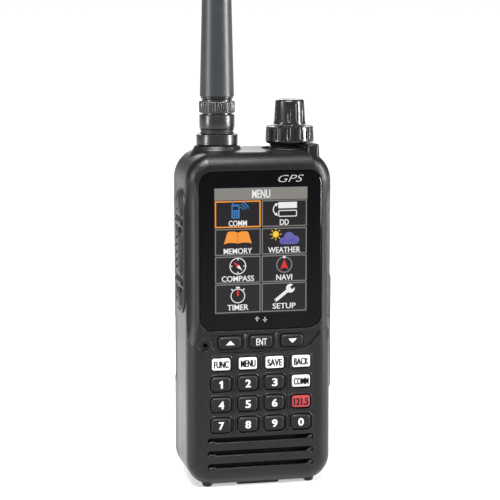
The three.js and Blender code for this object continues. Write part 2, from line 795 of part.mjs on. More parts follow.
function addContacts() {
  const half = CONTACT_W / 2;
  const tall = [CONTACT_Z - CONTACT_H / 2, CONTACT_Z + CONTACT_H / 2];
  const body = block([-half, half], [CHASSIS_Y - 1, CHASSIS_Y + CHASSIS_T], tall);
  let made = solid(body);
  for (const n of [-1, 0, 1]) {
    const x = (n * CONTACT_W) / 4;
    made = cut(
      made,
      block([x - 0.8, x + 0.8], [CHASSIS_Y + CHASSIS_T - 0.6, CASE_D], [tall[0] + 1, tall[1] - 1]),
    );
  }
  add("contact_block", made, brass());
}

// ---------------------------------------------------------------- knobs and antenna

// A round knob with upright flutes round its side.
function flutedKnob(radius, topRadius, z0, height, flutes, bore, boreTop) {
  const edge = Math.min(1, height / 5);
  const top = z0 + height;
  const body = turned(
    [
      [0, z0],
      [radius - edge / 2, z0],
      [radius, z0 + edge / 2],
      [topRadius, top - edge],
      [topRadius - edge, top],
      [0, top],
    ],
    flutes * 2,
  ).translate(KNOB_X, 0, 0);
  let made = solid(body);
  for (let n = 0; n < flutes; n += 1) {
    const turn = ((n + 0.5) / flutes) * 360 * DEG;
    const out = radius + FLUTE_R - FLUTE_DEPTH;
    const x = KNOB_X + out * Math.cos(turn);
    const y = out * Math.sin(turn);
    made = cut(made, upright(FLUTE_R, z0 + edge, top + PAST, x, y, 8));
  }
  return cut(made, upright(bore, z0 - PAST, boreTop, KNOB_X, 0, 16));
}

function tube(outer, inner, z0, z1, x, segments = 24) {
  return cut(
    solid(upright(outer, z0, z1, x, 0, segments)),
    upright(inner, z0 - PAST, z1 + PAST, x, 0, segments),
  );
}

function addKnobs() {
  const half = ENCODER_W / 2;
  const room = OUTER_SHAFT_R + GAP;
  const foot = ENCODER_LOW + 2;
  const can = block([KNOB_X - half, KNOB_X + half], [-half, half], [ENCODER_LOW, ENCODER_TOP]);
  const bush = upright(BUSH_R, ENCODER_TOP - 1, SEAT_TOP - 0.6, KNOB_X);
  const encoder = cut(
    join(can, bush),
    upright(room, foot + 1.5, SEAT_TOP + PAST, KNOB_X, 0, 20),
    upright(INNER_SHAFT_R + GAP, foot, SEAT_TOP, KNOB_X, 0, 16),
  );
  add("encoder_body", encoder, finish(0x9a9da1, 0.4, 1));
  const seat = tube(SEAT_R, BUSH_R + GAP, SEAT_Z, SEAT_TOP, KNOB_X, 24);
  add("knob_seat", seat, softRubber());

  const shaftLow = foot + 1.5 + GAP;
  const ringTop = RING_Z + RING_H;
  const innerRoom = INNER_SHAFT_R + GAP;
  add("outer_shaft", tube(OUTER_SHAFT_R, innerRoom, shaftLow, ringTop, KNOB_X, 20), steel());
  const ring = flutedKnob(RING_R, RING_R - 0.4, RING_Z, RING_H, RING_FLUTES, room, CAP_Z);
  add("dial_ring_knob", ring, knobPlastic());

  const shaftTop = CAP_Z + CAP_H - 2.5;
  const pin = upright(INNER_SHAFT_R, foot + GAP, shaftTop, KNOB_X, 0, 16);
  add("inner_shaft", pin, steel());
  const bore = shaftTop + GAP;
  const cap = flutedKnob(CAP_R, CAP_R - 0.5, CAP_Z, CAP_H, CAP_FLUTES, innerRoom, bore);
  add("volume_knob", cap, knobPlastic());
}

function addAntenna() {
  const x = ANTENNA_X;
  const stud = upright(STUD_R, ROOF - GAP - 8, STUD_TOP, x, 0, 20);
  const nut = upright(STUD_FLANGE_R, ROOF - GAP - 3, ROOF - GAP, x, 0, 6);
  add("antenna_socket", join(stud, nut), brass());
  add("antenna_collar", tube(COLLAR_R, STUD_HOLE_R, COLLAR_Z, COLLAR_TOP, x, 24), casePlastic());
  add("antenna_seal", tube(SEAL_R, STUD_HOLE_R, SEAL_Z, SEAL_Z + SEAL_T, x), softRubber());

  const groove = SLEEVE_R - 0.35;
  const z = SLEEVE_Z;
  const top = z + SLEEVE_H;
  const sleeve = turned([
    [0, z],
    [SLEEVE_R - 0.4, z],
    [SLEEVE_R, z + 0.4],
    [SLEEVE_R, z + 5.3],
    [groove, z + 5.5],
    [groove, z + 6.5],
    [SLEEVE_R + 0.1, z + 6.7],
    [SLEEVE_R + 0.1, z + 10.5],
    [groove, z + 10.9],
    [groove, top],
    [0, top],
  ]).translate(x, 0, 0);
  const coreLow = STUD_TOP + 4;
  const base = cut(
    solid(sleeve),
    upright(STUD_HOLE_R, 0, STUD_TOP + 2, x, 0, 16),
    upright(CORE_R + GAP, coreLow, top + PAST, x, 0, 12),
  );
  add("antenna_base", base, knobPlastic());
  const coreTop = SHEATH_TOP - SHEATH_TIP_WALL;
  add("antenna_core", upright(CORE_R, coreLow + GAP, coreTop, x, 0, 16), brass());
  const shoulder = SHEATH_TOP - SHEATH_TIP_R;
  const sheath = turned(
    [
      [CORE_R + GAP, SHEATH_Z],
      [SHEATH_R, SHEATH_Z],
      [SHEATH_TIP_R, shoulder],
      [SHEATH_TIP_R * 0.87, shoulder + SHEATH_TIP_R * 0.5],
      [SHEATH_TIP_R * 0.5, shoulder + SHEATH_TIP_R * 0.87],
      [0, SHEATH_TOP],
      [0, coreTop + GAP],
      [CORE_R + GAP, coreTop + GAP],
      [CORE_R + GAP, SHEATH_Z],
    ],
    24,
  ).translate(x, 0, 0);
  add("antenna_sheath", solid(sheath), softRubber());
}

// ---------------------------------------------------------------- right side

function addRightSide() {
  const coverOut = HALF_W + HEADSET_PROUD;
  let cover = solid(sideSlab(coverOutline(HEADSET_LOW, HEADSET_HIGH), PAD_SEAT_X, coverOut, 4));
  for (const { z } of COVER_SCREWS)
    cover = cut(
      cover,
      alongX(SCREW_R + GAP, 0, CASE_W, COVER_Y, z, 12),
      alongX(SCREW_HEAD_R + GAP, coverOut - 0.3, CASE_W, COVER_Y, z, 20),
    );
  add("jack_cover", cover, softRubber());
  for (const { name, z } of COVER_SCREWS) {
    const shank = alongX(SCREW_R, SIDE_REACH - SCREW_LENGTH, SIDE_REACH - 0.5, COVER_Y, z, 12);
    const flat = alongX(SCREW_HEAD_R, coverOut, SIDE_REACH - 0.3, COVER_Y, z, 20);
    const dome = alongX(SCREW_HEAD_R * 0.75, coverOut, SIDE_REACH, COVER_Y, z, 20);
    const slit = block([SIDE_REACH - 0.35, CASE_W], [COVER_Y - 0.3, COVER_Y + 0.3], [z - 3, z + 3]);
    add(name, cut(join(flat, dome, shank), slit), steel());
  }

  const deep = [COVER_Y - JACK_R - 0.8, COVER_Y + JACK_R + 0.8];
  const spread = JACK_R + 1.4;
  const tall = [JACK_Z - spread - JACK_R - 0.8, JACK_Z + spread + JACK_R + 0.8];
  let jacks = solid(block([INSIDE_X - GAP - 7, INSIDE_X - GAP], deep, tall));
  for (const n of [-1, 1]) {
    const z = JACK_Z + n * spread;
    jacks = jacks.add(solid(alongX(JACK_R, INSIDE_X - 2, PAD_SEAT_X - GAP * 2, COVER_Y, z)));
    jacks = cut(jacks, alongX(JACK_BORE_R, INSIDE_X - 6, CASE_W, COVER_Y, z, 12));
  }
  add("headset_jack", jacks, finish(0x1c1c1e, 0.4));

  const shell = roundedRect(SOCKET_T, SOCKET_W, SOCKET_T * 0.45, COVER_Y, SOCKET_Z);
  const mouth = roundedRect(SOCKET_T - 0.6, SOCKET_W - 0.6, SOCKET_T * 0.4, COVER_Y, SOCKET_Z);
  const socketOut = PAD_SEAT_X - GAP * 2;
  const socket = cut(
    solid(sideSlab(shell, socketOut - SOCKET_DEPTH, socketOut, 4)),
    sideSlab(mouth, socketOut - SOCKET_DEPTH + 1, CASE_W, 4),
  );
  add("usb_socket", socket, steel());
  addDataCover();
}

// The flap's rear edge is round and centred on its hinge, so it turns in place.
function addDataCover() {
  const inner = PAD_SEAT_X;
  const outer = PAD_SEAT_X + DATA_T;
  const hinge = COVER_Y + COVER_D / 2 - DATA_T / 2;
  const round = upright(DATA_T / 2, DATA_LOW, DATA_HIGH, (inner + outer) / 2, hinge, 16);
  const front = COVER_Y - COVER_D / 2;
  const leaf = keep(
    solid(sideSlab(coverOutline(DATA_LOW, DATA_HIGH), inner, outer, 4)),
    block([0, CASE_W], [front - PAST, hinge], [0, CASE_TOP]),
  );
  const bead = keep(solid(round), block([0, CASE_W], [0, CASE_D], [DATA_LOW + 2, DATA_HIGH - 2]));
  const raised = coverOutline(DATA_LOW, DATA_HIGH, -DATA_RIM);
  const bulge = keep(
    solid(sideSlab(raised, outer - PAST, outer + DATA_BULGE, 4)),
    block([0, CASE_W], [front, hinge - DATA_T], [0, CASE_TOP]),
  );
  add("data_port_cover", leaf.add(bulge).add(bead), softRubber());
}

// ---------------------------------------------------------------- battery

function batteryOuter(block0) {
  const wide = [-CASE_W, CASE_W];
  const room = block(wide, [BATTERY_Y, CASE_D], [0, BATTERY_TOP]);
  const r = BATTERY_TOP_R;
  const top = new THREE.Shape();
  top.absarc(BACK - r, BATTERY_TOP - r, r, 0, 90 * DEG);
  top.lineTo(BATTERY_Y - PAST, BATTERY_TOP);
  top.lineTo(BATTERY_Y - PAST, -PAST);
  top.lineTo(BACK, -PAST);
  top.closePath();
  return keep(keep(block0, room), sideSlab(top, -CASE_W, CASE_W, 4));
}

function addBattery(block0) {
  const half = CELL_BAY_W / 2;
  const bayBack = BACK - BATTERY_WALL;
  let shell = batteryOuter(block0);
  const clip = roundedRect(CLIP_PAD_W, CLIP_PAD_H, 2, 0, CLIP_PAD_Z);
  shell = shell.add(solid(frontSlab(clip, BACK - 1, BACK + CLIP_PAD_PROUD, 4)));
  for (const side of [-1, 1])
    shell = shell.add(
      solid(upright(FOOT_R, 0, BATTERY_LOW + EDGE_R, side * FOOT_X * 0.8, FOOT_Y, 16)),
    );
  const latchRoomX = LATCH_W / 2 + LATCH_TRAVEL / 2 + GAP;
  shell = cut(
    shell,
    block([-half, half], [0, bayBack], [CELL_BAY_LOW, CELL_BAY_HIGH]),
    block(
      [-latchRoomX, latchRoomX],
      [BATTERY_Y + 1.2, BATTERY_Y + 1.2 + LATCH_D + 2 * GAP],
      [-PAST, BATTERY_LOW + LATCH_H + GAP],
    ),
  );
  add("battery_case", shell, casePlastic());

  const w = [-half + GAP, half - GAP];
  const tall = [CELL_BAY_LOW + GAP, CELL_BAY_HIGH - GAP];
  const lidBack = BATTERY_Y + LID_T;
  add("battery_lid", block(w, [BATTERY_Y, lidBack], tall), casePlastic());
  const cellY = [lidBack + GAP, lidBack + GAP + CELL_T];
  ["cell_lower", "cell_upper"].forEach((name, n) => {
    const z = CELL_BAY_LOW + 1 + n * (CELL_H + 2);
    const cell = block([-CELL_W / 2, CELL_W / 2], cellY, [z, z + CELL_H]);
    add(name, cell, cellWrap());
  });

  const x = -LATCH_TRAVEL / 2;
  const y0 = BATTERY_Y + 1.2 + GAP;
  const slide = block(
    [x - LATCH_W / 2, x + LATCH_W / 2],
    [y0, y0 + LATCH_D],
    [BATTERY_LOW - 0.5, BATTERY_LOW + LATCH_H],
  );
  const ridges = [-1, 0, 1].map((n) =>
    block(
      [x + n * 3 - 0.6, x + n * 3 + 0.6],
      [y0 + 0.4, y0 + LATCH_D - 0.4],
      [BATTERY_LOW - 1, BATTERY_LOW],
    ),
  );
  add("battery_latch", join(slide, ...ridges), casePlastic());
}

function addCaseScrews() {
  const seat = CHASSIS_Y + CHASSIS_T - 1;
  [
    ["case_screw_left", -1],
    ["case_screw_right", 1],
  ].forEach(([name, side]) => {
    const x = side * CASE_SCREW_X;
    const head = alongY(SCREW_HEAD_R, seat + GAP * 0.5, seat + 0.9, x, CASE_SCREW_Z);
    const shank = alongY(SCREW_R, PARTING_Y - 8, seat + 0.5, x, CASE_SCREW_Z, 12);
    add(name, join(head, shank), steel());
  });
}

// ---------------------------------------------------------------- assembly

const whole = outerBlock();
add("front_case", frontCase(whole), casePlastic());
add("rear_chassis", rearChassis(whole), casePlastic());
addCaseScrews();
addDisplay();
addKeys();
addElectronics();
addContacts();
addSidePad();
addRightSide();
addKnobs();
addAntenna();
addBattery(whole);

export default radio;
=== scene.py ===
"""A handheld aviation radio: moulded case, glossy display, rubber keys, knobs and antenna."""

import math

import bmesh
import bpy
from mathutils import Matrix, Vector


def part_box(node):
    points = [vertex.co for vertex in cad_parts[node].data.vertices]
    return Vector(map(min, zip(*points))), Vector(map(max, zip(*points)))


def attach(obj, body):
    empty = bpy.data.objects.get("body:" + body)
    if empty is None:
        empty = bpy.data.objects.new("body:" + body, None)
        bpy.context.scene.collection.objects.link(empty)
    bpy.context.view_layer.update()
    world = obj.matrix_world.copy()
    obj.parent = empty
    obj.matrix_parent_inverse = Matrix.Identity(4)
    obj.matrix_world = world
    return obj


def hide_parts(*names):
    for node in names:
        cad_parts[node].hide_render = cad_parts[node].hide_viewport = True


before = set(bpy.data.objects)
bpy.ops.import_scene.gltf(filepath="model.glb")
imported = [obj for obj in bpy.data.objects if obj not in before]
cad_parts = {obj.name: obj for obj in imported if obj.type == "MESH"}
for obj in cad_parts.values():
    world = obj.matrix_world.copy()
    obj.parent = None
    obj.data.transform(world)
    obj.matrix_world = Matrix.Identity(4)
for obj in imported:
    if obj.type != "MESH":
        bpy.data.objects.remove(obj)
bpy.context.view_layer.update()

MM = 0.001


# ------------------------------------------------------------------ measures, in millimetres


def span(node):
    """A node's lowest and highest corners."""
    low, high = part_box(node)
    return Vector(low) / MM, Vector(high) / MM


def middle(node):
    low, high = span(node)
    return (low + high) / 2


SHELL_LOW, SHELL_HIGH = span("front_case")
CHASSIS_LOW, CHASSIS_HIGH = span("rear_chassis")
PACK_LOW, PACK_HIGH = span("battery_case")
HALF_W = SHELL_HIGH.x
FRONT = SHELL_LOW.y
BACK = CHASSIS_HIGH.y
CASE_LOW = CHASSIS_LOW.z
GUARD_RISE = 2.5  # the knobs' guard stands this far above the case
CASE_TOP = SHELL_HIGH.z - GUARD_RISE
CASE_MID = (CASE_LOW + CASE_TOP) / 2
SEAM = 0.25  # between the front, the rear frame and the battery
PARTING = CHASSIS_LOW.y - SEAM
HEAD_PARTING = SHELL_HIGH.y
HEAD_Z = 118.4  # above this the front runs further back
CHASSIS_BACK = PACK_LOW.y - SEAM
PACK_TOP = PACK_HIGH.z
SHOULDER_R = 12  # upper corners seen from the front
FOOT_CORNER_R = 10
FRONT_R = 6
REAR_R = 6
TOP_ROLL_R = 7
WALL = 1.8
FRONT_WALL = 2.4
ROOF = CASE_TOP - FRONT_WALL
FRONT_INSIDE = FRONT + FRONT_WALL
HOLLOW_R = 3.2
KEY_LIP = 0.65
KEY_RIM = 0.16  # height of the bead round each key's border
PRINT_RISE = 0.05  # the caps stop this far short of the keys' own height, to leave room for print
PRINT_T = 0.04
WINDOW_W, WINDOW_H = 38, 50
SCREEN_W, SCREEN_H = 36.7, 49.0
SLOTS = [8.6, 13.75, 18.9]  # heights of the sound slots
SLOT_X = -0.15
STUD_HOLE_R = 3.4
SIDE_KEYS = ("ptt_button", "monitor_button", "lamp_button")
SIDE_KEY_LIP = 0.7
SIDE_CORNER = 0.42  # share of a side key's lesser size
PAD_R = 8.45
COVER_R = 3
BELT_PAD_Z = 78


# ------------------------------------------------------------------ shapes

SIDES = {
    "front": ((1, 0, 0), (0, 0, 1), (0, -1, 0)),
    "back": ((-1, 0, 0), (0, 0, 1), (0, 1, 0)),
    "left": ((0, -1, 0), (0, 0, 1), (-1, 0, 0)),
    "right": ((0, 1, 0), (0, 0, 1), (1, 0, 0)),
    "top": ((1, 0, 0), (0, 1, 0), (0, 0, 1)),
}


def facing(side, x=0.0, y=0.0, z=0.0):
    """Turns a shape drawn flat, looking up, to look out of one side of the radio."""
    turn = Matrix(SIDES[side]).transposed().to_4x4()
    turn.translation = Vector((x, y, z))
    return turn


def outward(bm):
    """Every face of the shape looking out."""
    bmesh.ops.recalc_face_normals(bm, faces=bm.faces)
    return bm


def placed(bm, matrix):
    bmesh.ops.transform(bm, matrix=matrix, verts=bm.verts)
    return outward(bm)


def on(side, bm, x=0.0, y=0.0, z=0.0):
    """A shape drawn flat, set on one side of the radio."""
    return placed(bm, facing(side, x, y, z))


def moved(bm, x=0.0, y=0.0, z=0.0):
    bmesh.ops.translate(bm, vec=(x, y, z), verts=bm.verts)
    return bm


def softened(bm, geometry, offset, segments, affect):
    bmesh.ops.bevel(
        bm, geom=geometry, offset=offset, segments=segments, profile=0.5, affect=affect, material=-1
    )


def spun(bm, geometry, angle, steps):
    """Geometry swept about the upright axis; a full turn closes on itself."""
    full = angle >= math.tau
    spindle = {"cent": (0, 0, 0), "axis": (0, 0, 1)}
    bmesh.ops.spin(bm, geom=geometry, **spindle, angle=angle, steps=steps, use_merge=full)


def merged(*parts):
    """Several shapes as one, without joining them."""
    whole = bmesh.new()
    for part in parts:
        mesh = bpy.data.meshes.new("part")
        part.to_mesh(mesh)
        part.free()
        whole.from_mesh(mesh)
        bpy.data.meshes.remove(mesh)
    return whole


def ring(bm, width, height, radii, z, segments):
    """A rounded rectangle of edges; radii are for its upper and its lower corners."""
    one = bmesh.new()
    w, h = width / 2, height / 2
    corners = [one.verts.new((x * w, y * h, z)) for x, y in ((1, 1), (-1, 1), (-1, -1), (1, -1))]
    one.faces.new(corners)
    for pair, radius in ((corners[:2], radii[0]), (corners[2:], radii[1])):
        softened(one, pair, max(0.03, min(radius, w - 0.01, h - 0.01)), segments, "VERTICES")
    verts = [bm.verts.new(v.co) for v in one.faces[:][0].verts]
    one.free()
    return verts, [bm.edges.new((verts[i - 1], verts[i])) for i in range(len(verts))]


def tower(width, height, radii, levels, segments=6):
    """Rounded rectangles stacked and joined: levels are (height, growth) pairs."""
    upper, lower = radii if isinstance(radii, tuple) else (radii, radii)
    bm = bmesh.new()
    rings = []
    for z, grow in levels:
        size = (width + 2 * grow, height + 2 * grow)
        rings.append(ring(bm, *size, (upper + grow, lower + grow), z, segments))
    for (_, low), (_, high) in zip(rings, rings[1:]):
        bmesh.ops.bridge_loops(bm, edges=low + high)
    bm.faces.new(rings[0][0])
    bm.faces.new(rings[-1][0])
    return outward(bm)


def quarter(steps):
    """Angles from nought to a right one."""
    return [math.pi / 2 * k / steps for k in range(steps + 1)]


def rounded_top(z, radius, steps=4):
    """Levels that round off the upper edge of a tower."""
    return [(z - radius + radius * math.sin(a), -radius * (1 - math.cos(a))) for a in quarter(steps)]


def flared_mouth(z, lip, steps=3):
    """Levels that open out a cutter where it leaves the surface."""
    curve = [(z - lip + lip * math.sin(a), lip * (1 - math.cos(a))) for a in quarter(steps)]
    return [*curve, (z + 1, lip)]


def block(low, high, soft=0.0, segments=3):
    bm = bmesh.new()
    bmesh.ops.create_cube(bm, size=1)
    low, high = Vector(low), Vector(high)
    bmesh.ops.scale(bm, vec=high - low, verts=bm.verts)
    moved(bm, *(low + high) / 2)
    if soft:
        softened(bm, bm.edges[:], soft, segments, "EDGES")
    return bm


def plate(points, low, high, soften=0.0, segments=4):
    """A drawn outline given a thickness; soften rounds its corners."""
    bm = bmesh.new()
    verts = [bm.verts.new((x, y, low)) for x, y in points]
    bm.faces.new(verts)
    if soften:
        softened(bm, verts, soften, segments, "VERTICES")
    grown = bmesh.ops.extrude_face_region(bm, geom=bm.faces[:])["geom"]
    top = [g for g in grown if isinstance(g, bmesh.types.BMVert)]
    bmesh.ops.translate(bm, vec=(0, 0, high - low), verts=top)
    return outward(bm)


def turned(profile, steps=64):
    """A profile of (radius, height) points spun about the upright axis."""
    bm = bmesh.new()
    verts = [bm.verts.new((r, 0, z)) for r, z in profile]
    spun(bm, verts + [bm.edges.new(pair) for pair in zip(verts, verts[1:])], math.tau, steps)
    bmesh.ops.remove_doubles(bm, verts=bm.verts, dist=1e-4)
    return outward(bm)


def rim(radius, z, *offsets):
    """Profile points given by how far they lie from a rim."""
    return [(radius + out, z + up) for out, up in offsets]


def pillar(radius, low, high, steps=32):
    return turned([(0, low), (radius, low), (radius, high), (0, high)], steps)


def carved(base, tool, how="DIFFERENCE"):
    """The first shape cut by, joined to or kept inside the second."""
    objects = []
    for bm in (base, tool):
        mesh = bpy.data.meshes.new("carving")
        bm.to_mesh(mesh)
        bm.free()
        objects.append(bpy.data.objects.new("carving", mesh))
        bpy.context.scene.collection.objects.link(objects[-1])
    cut = objects[0].modifiers.new("cut", "BOOLEAN")
    cut.operation = how
    cut.solver = "MANIFOLD"
    cut.object = objects[1]
    result = bmesh.new()
    result.from_object(objects[0], bpy.context.evaluated_depsgraph_get())
    for each in objects:
        mesh = each.data
        bpy.data.objects.remove(each)
        bpy.data.meshes.remove(mesh)
    return result


def finished(name, bm, material, body, replaces=(), sharp=35, even=False):
    """Makes a shape drawn in millimetres a piece of the radio."""
    bmesh.ops.remove_doubles(bm, verts=bm.verts, dist=1e-4)
    bmesh.ops.scale(bm, vec=(MM, MM, MM), verts=bm.verts)
    outward(bm)
    mesh = bpy.data.meshes.new(name)
    bm.to_mesh(mesh)
    bm.free()
    mesh.materials.append(material)
    for face in mesh.polygons:
        face.use_smooth = True
    mesh.set_sharp_from_angle(angle=math.radians(sharp))
    piece = bpy.data.objects.new(name, mesh)
    bpy.context.scene.collection.objects.link(piece)
    if even:
        weights = piece.modifiers.new("even shading", "WEIGHTED_NORMAL")
        weights.keep_sharp = True
        weights.weight = 80
    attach(piece, body)
    if replaces:
        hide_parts(*replaces)
    return piece


# ------------------------------------------------------------------ materials


class Value:
    """A shader socket that takes part in ordinary arithmetic."""

    def __init__(self, finish, socket):
        self.finish = finish
        self.socket = socket

    def math(self, operation, first, second):
        return self.finish.node("ShaderNodeMath", {"operation": operation}, first, second)

    def __add__(self, other):
        return self.math("ADD", self, other)

    def __sub__(self, other):
        return self.math("SUBTRACT", self, other)

    def __mul__(self, other):
        return self.math("MULTIPLY", self, other)

    __radd__ = __add__
    __rmul__ = __mul__


class Finish:
    """A material and the few kinds of node that it is made of."""

    def __init__(self, name):
        self.material = bpy.data.materials.new(name)
        self.material.use_nodes = True
        self.start(self.material.node_tree, "Principled BSDF", "Object")

    @classmethod
    def over(cls, tree, surface, place):
        """The same tools on a tree that isn't a material's."""
        made = cls.__new__(cls)
        made.start(tree, surface, place)
        return made

    def start(self, tree, surface, place):
        self.tree = tree
        self.surface = tree.nodes[surface]
        self.place = self.node("ShaderNodeTexCoord", {}, out=place)

    def node(self, kind, settings, *inputs, out=0, **named):
        made = self.tree.nodes.new(kind)
        for key, value in settings.items():
            if key == "stops":
                self.set_stops(made.color_ramp, value)
            else:
                setattr(made, key, value)
        for key, value in list(enumerate(inputs)) + list(named.items()):
            self.fill(made.inputs[key.replace("_", " ") if isinstance(key, str) else key], value)
        return Value(self, made.outputs[out])

    def fill(self, socket, value):
        if isinstance(value, Value):
            self.tree.links.new(value.socket, socket)
        else:
            socket.default_value = value

    @staticmethod
    def set_stops(ramp, stops):
        while len(ramp.elements) > len(stops):
            ramp.elements.remove(ramp.elements[-1])
        while len(ramp.elements) < len(stops):
            ramp.elements.new(1)
        for element, (position, shade) in zip(ramp.elements, stops):
            element.position = position
            element.color = (shade, shade, shade, 1)

    def set(self, **sockets):
        for key, value in sockets.items():
            self.fill(self.surface.inputs[key.replace("_", " ")], value)
        return self

    def noise(self, scale, detail=2.0, roughness=0.5):
        inputs = {"Vector": self.place, "Scale": scale, "Detail": detail, "Roughness": roughness}
        return self.node("ShaderNodeTexNoise", {"noise_dimensions": "3D"}, **inputs)

    def ramp(self, value, *stops):
        return self.node("ShaderNodeValToRGB", {"stops": stops}, value)

    def blend(self, share, first, second):
        mixed = self.tree.nodes.new("ShaderNodeMix")
        mixed.data_type = "RGBA"
        self.fill(mixed.inputs[0], share)
        self.fill(mixed.inputs[6], first)
        self.fill(mixed.inputs[7], second)
        return Value(self, mixed.outputs[2])

    def bump(self, height, strength, depth):
        bumps = {"Strength": strength, "Distance": depth * MM, "Height": height}
        return self.set(Normal=self.node("ShaderNodeBump", {}, **bumps))


def tint(shade, warm=0.0):
    return (shade * (1 + warm), shade, shade * (1 - warm), 1)


def moulded_plastic(name, shade, rough):
    """Spark-eroded moulding: a fine pebbled skin with faint clouds of wear."""
    finish = Finish(name)
    cool = 0.06
    fine = finish.noise(1700, 3, 0.6)
    clouds = finish.noise(60, 4, 0.6)
    wear = finish.ramp(clouds, (0.35, 0.0), (0.7, 1.0))
    speck = finish.ramp(fine, (0.45, 0.0), (0.75, 1.0))
    base = finish.blend(wear * 0.5, tint(shade, -cool), tint(shade * 1.35, -cool))
    finish.set(Base_Color=finish.blend(speck * 0.35, base, tint(shade * 2.1, -cool)))
    finish.set(Roughness=rough + 0.06 * wear - 0.1 * speck)
    finish.bump(fine, 0.55, 0.16)
    return finish.material


def smooth_plastic(name, shade, rough, cool=0.05):
    """Polished moulding with hairline marks."""
    finish = Finish(name)
    clouds = finish.noise(120, 3, 0.6)
    marks = finish.noise(1800, 2, 0.5)
    finish.set(Base_Color=finish.blend(clouds, tint(shade, -cool), tint(shade * 1.3, -cool)))
    finish.set(Roughness=rough + 0.07 * clouds)
    finish.bump(marks, 0.06, 0.03)
    return finish.material


def silicone(name, colour, rough, strength=0.12):
    """Moulded rubber: dull, with a soft bloom and a very fine grain."""
    finish = Finish(name)
    clouds = finish.noise(150, 3, 0.6)
    fine = finish.noise(3200, 2, 0.5)
    light = tuple(min(1, c * 1.12 + 0.004) for c in colour)
    finish.set(Base_Color=finish.blend(clouds, (*colour, 1), (*light, 1)))
    finish.set(Roughness=rough + 0.1 * clouds)
    finish.bump(fine, strength, 0.05)
    return finish.material


def printed(name, colour, rough=0.45):
    finish = Finish(name)
    dust = finish.noise(900, 3, 0.6)
    dim = tuple(c * 0.9 for c in colour)
    finish.set(Base_Color=finish.blend(dust, (*dim, 1), (*colour, 1)), Roughness=rough)
    return finish.material


def metal(name, colour, rough):
    finish = Finish(name)
    fine = finish.node("ShaderNodeMapping", {}, Vector=finish.place, Scale=(900, 900, 900))
    hairs = finish.node("ShaderNodeTexNoise", {}, Vector=fine, Scale=1.0, Detail=3.0)
    worn = tuple(min(1, c * 1.35) for c in colour)
    finish.set(Base_Color=finish.blend(hairs, (*colour, 1), (*worn, 1)), Metallic=1.0)
    finish.set(Roughness=rough + 0.15 * hairs)
    finish.bump(hairs, 0.15, 0.03)
    return finish.material


def lit(name, colour):
    """A lit area of the display, under its glossy front."""
    finish = Finish(name)
    rows = finish.noise(2500, 1, 0.5)
    dim = tuple(c * 0.94 for c in colour)
    finish.set(Base_Color=(0.006, 0.006, 0.007, 1), Roughness=0.12, Specular_IOR_Level=0.1)
    finish.set(Emission_Color=finish.blend(rows, (*dim, 1), (*colour, 1)), Emission_Strength=1.0)
    return finish.material


def polished_panel():
    finish = Finish("polished_panel")
    smears = finish.noise(45, 3, 0.5)
    finish.set(Base_Color=(0.0016, 0.0016, 0.002, 1), Roughness=0.05 + 0.05 * smears)
    return finish.material


CASE = moulded_plastic("case_plastic", 0.0025, 0.34)
CASE_REAR = moulded_plastic("rear_case_plastic", 0.003, 0.4)
KNOB = smooth_plastic("knob_plastic", 0.004, 0.22)
FERRULE = smooth_plastic("ferrule_plastic", 0.005, 0.26)
KEY = silicone("key_rubber", (0.003, 0.0032, 0.004), 0.36)
LIGHT_KEY = silicone("light_key_rubber", (0.4, 0.4, 0.395), 0.5, 0.06)
RED_KEY = silicone("red_key_rubber", (0.2, 0.018, 0.021), 0.5, 0.06)
PAD = silicone("pad_rubber", (0.0045, 0.005, 0.006), 0.42, 0.16)
SHEATH = silicone("sheath_rubber", (0.008, 0.01, 0.012), 0.34, 0.3)
DARK = silicone("inner_black", (0.002, 0.002, 0.002), 0.8)
LENS = polished_panel()
SCREW = metal("screw_steel", (0.17, 0.13, 0.105), 0.38)
STEEL = metal("plated_steel", (0.5, 0.5, 0.5), 0.3)
BRASS = metal("brass", (0.6, 0.42, 0.17), 0.3)
WHITE_INK = printed("white_ink", (0.45, 0.45, 0.445))
BLACK_INK = printed("black_ink", (0.003, 0.003, 0.0035))
SILVER_INK = printed("silver_ink", (0.2, 0.2, 0.2), 0.35)
SHEEN = {
    CASE: 0.25, CASE_REAR: 0.28, KNOB: 0.4, FERRULE: 0.5, KEY: 0.16, LIGHT_KEY: 0.2, RED_KEY: 0.25,
    PAD: 0.26, SHEATH: 0.36, LENS: 0.08, DARK: 0.1, BLACK_INK: 0.1,
}
for material, level in SHEEN.items():
    material.node_tree.nodes["Principled BSDF"].inputs["Specular IOR Level"].default_value = level


# ------------------------------------------------------------------ case


def body_profile(low, high):
    """How far the outline is drawn in, from one depth to another, as tower levels."""
    rear = [math.pi / 2 * (1 - k / 10) for k in range(11)]
    levels = [(BACK - REAR_R + REAR_R * math.sin(a), REAR_R * (math.cos(a) - 1)) for a in rear]
    levels += [(FRONT + FRONT_R - FRONT_R * math.sin(a), FRONT_R * (math.cos(a) - 1)) for a in quarter(8)]
    kept = [(y, grow) for y, grow in levels if low - 1e-6 <= y <= high + 1e-6]
    if kept[0][0] < high - 1e-6:
        kept.insert(0, (high, growth_at(high)))
    if kept[-1][0] > low + 1e-6:
        kept.append((low, growth_at(low)))
    return [(-y, grow) for y, grow in kept]


def growth_at(y):
    over = max(0, y - (BACK - REAR_R)) / REAR_R
    under = max(0, FRONT + FRONT_R - y) / FRONT_R
    return REAR_R * (math.sqrt(1 - over**2) - 1) + FRONT_R * (math.sqrt(1 - under**2) - 1)


def case_slice(low, high):
    """The case's outer shape between two depths."""
    radii = (SHOULDER_R, FOOT_CORNER_R)
    bm = tower(2 * HALF_W, CASE_TOP - CASE_LOW, radii, body_profile(low, high), segments=12)
    return on("front", bm, z=CASE_MID)


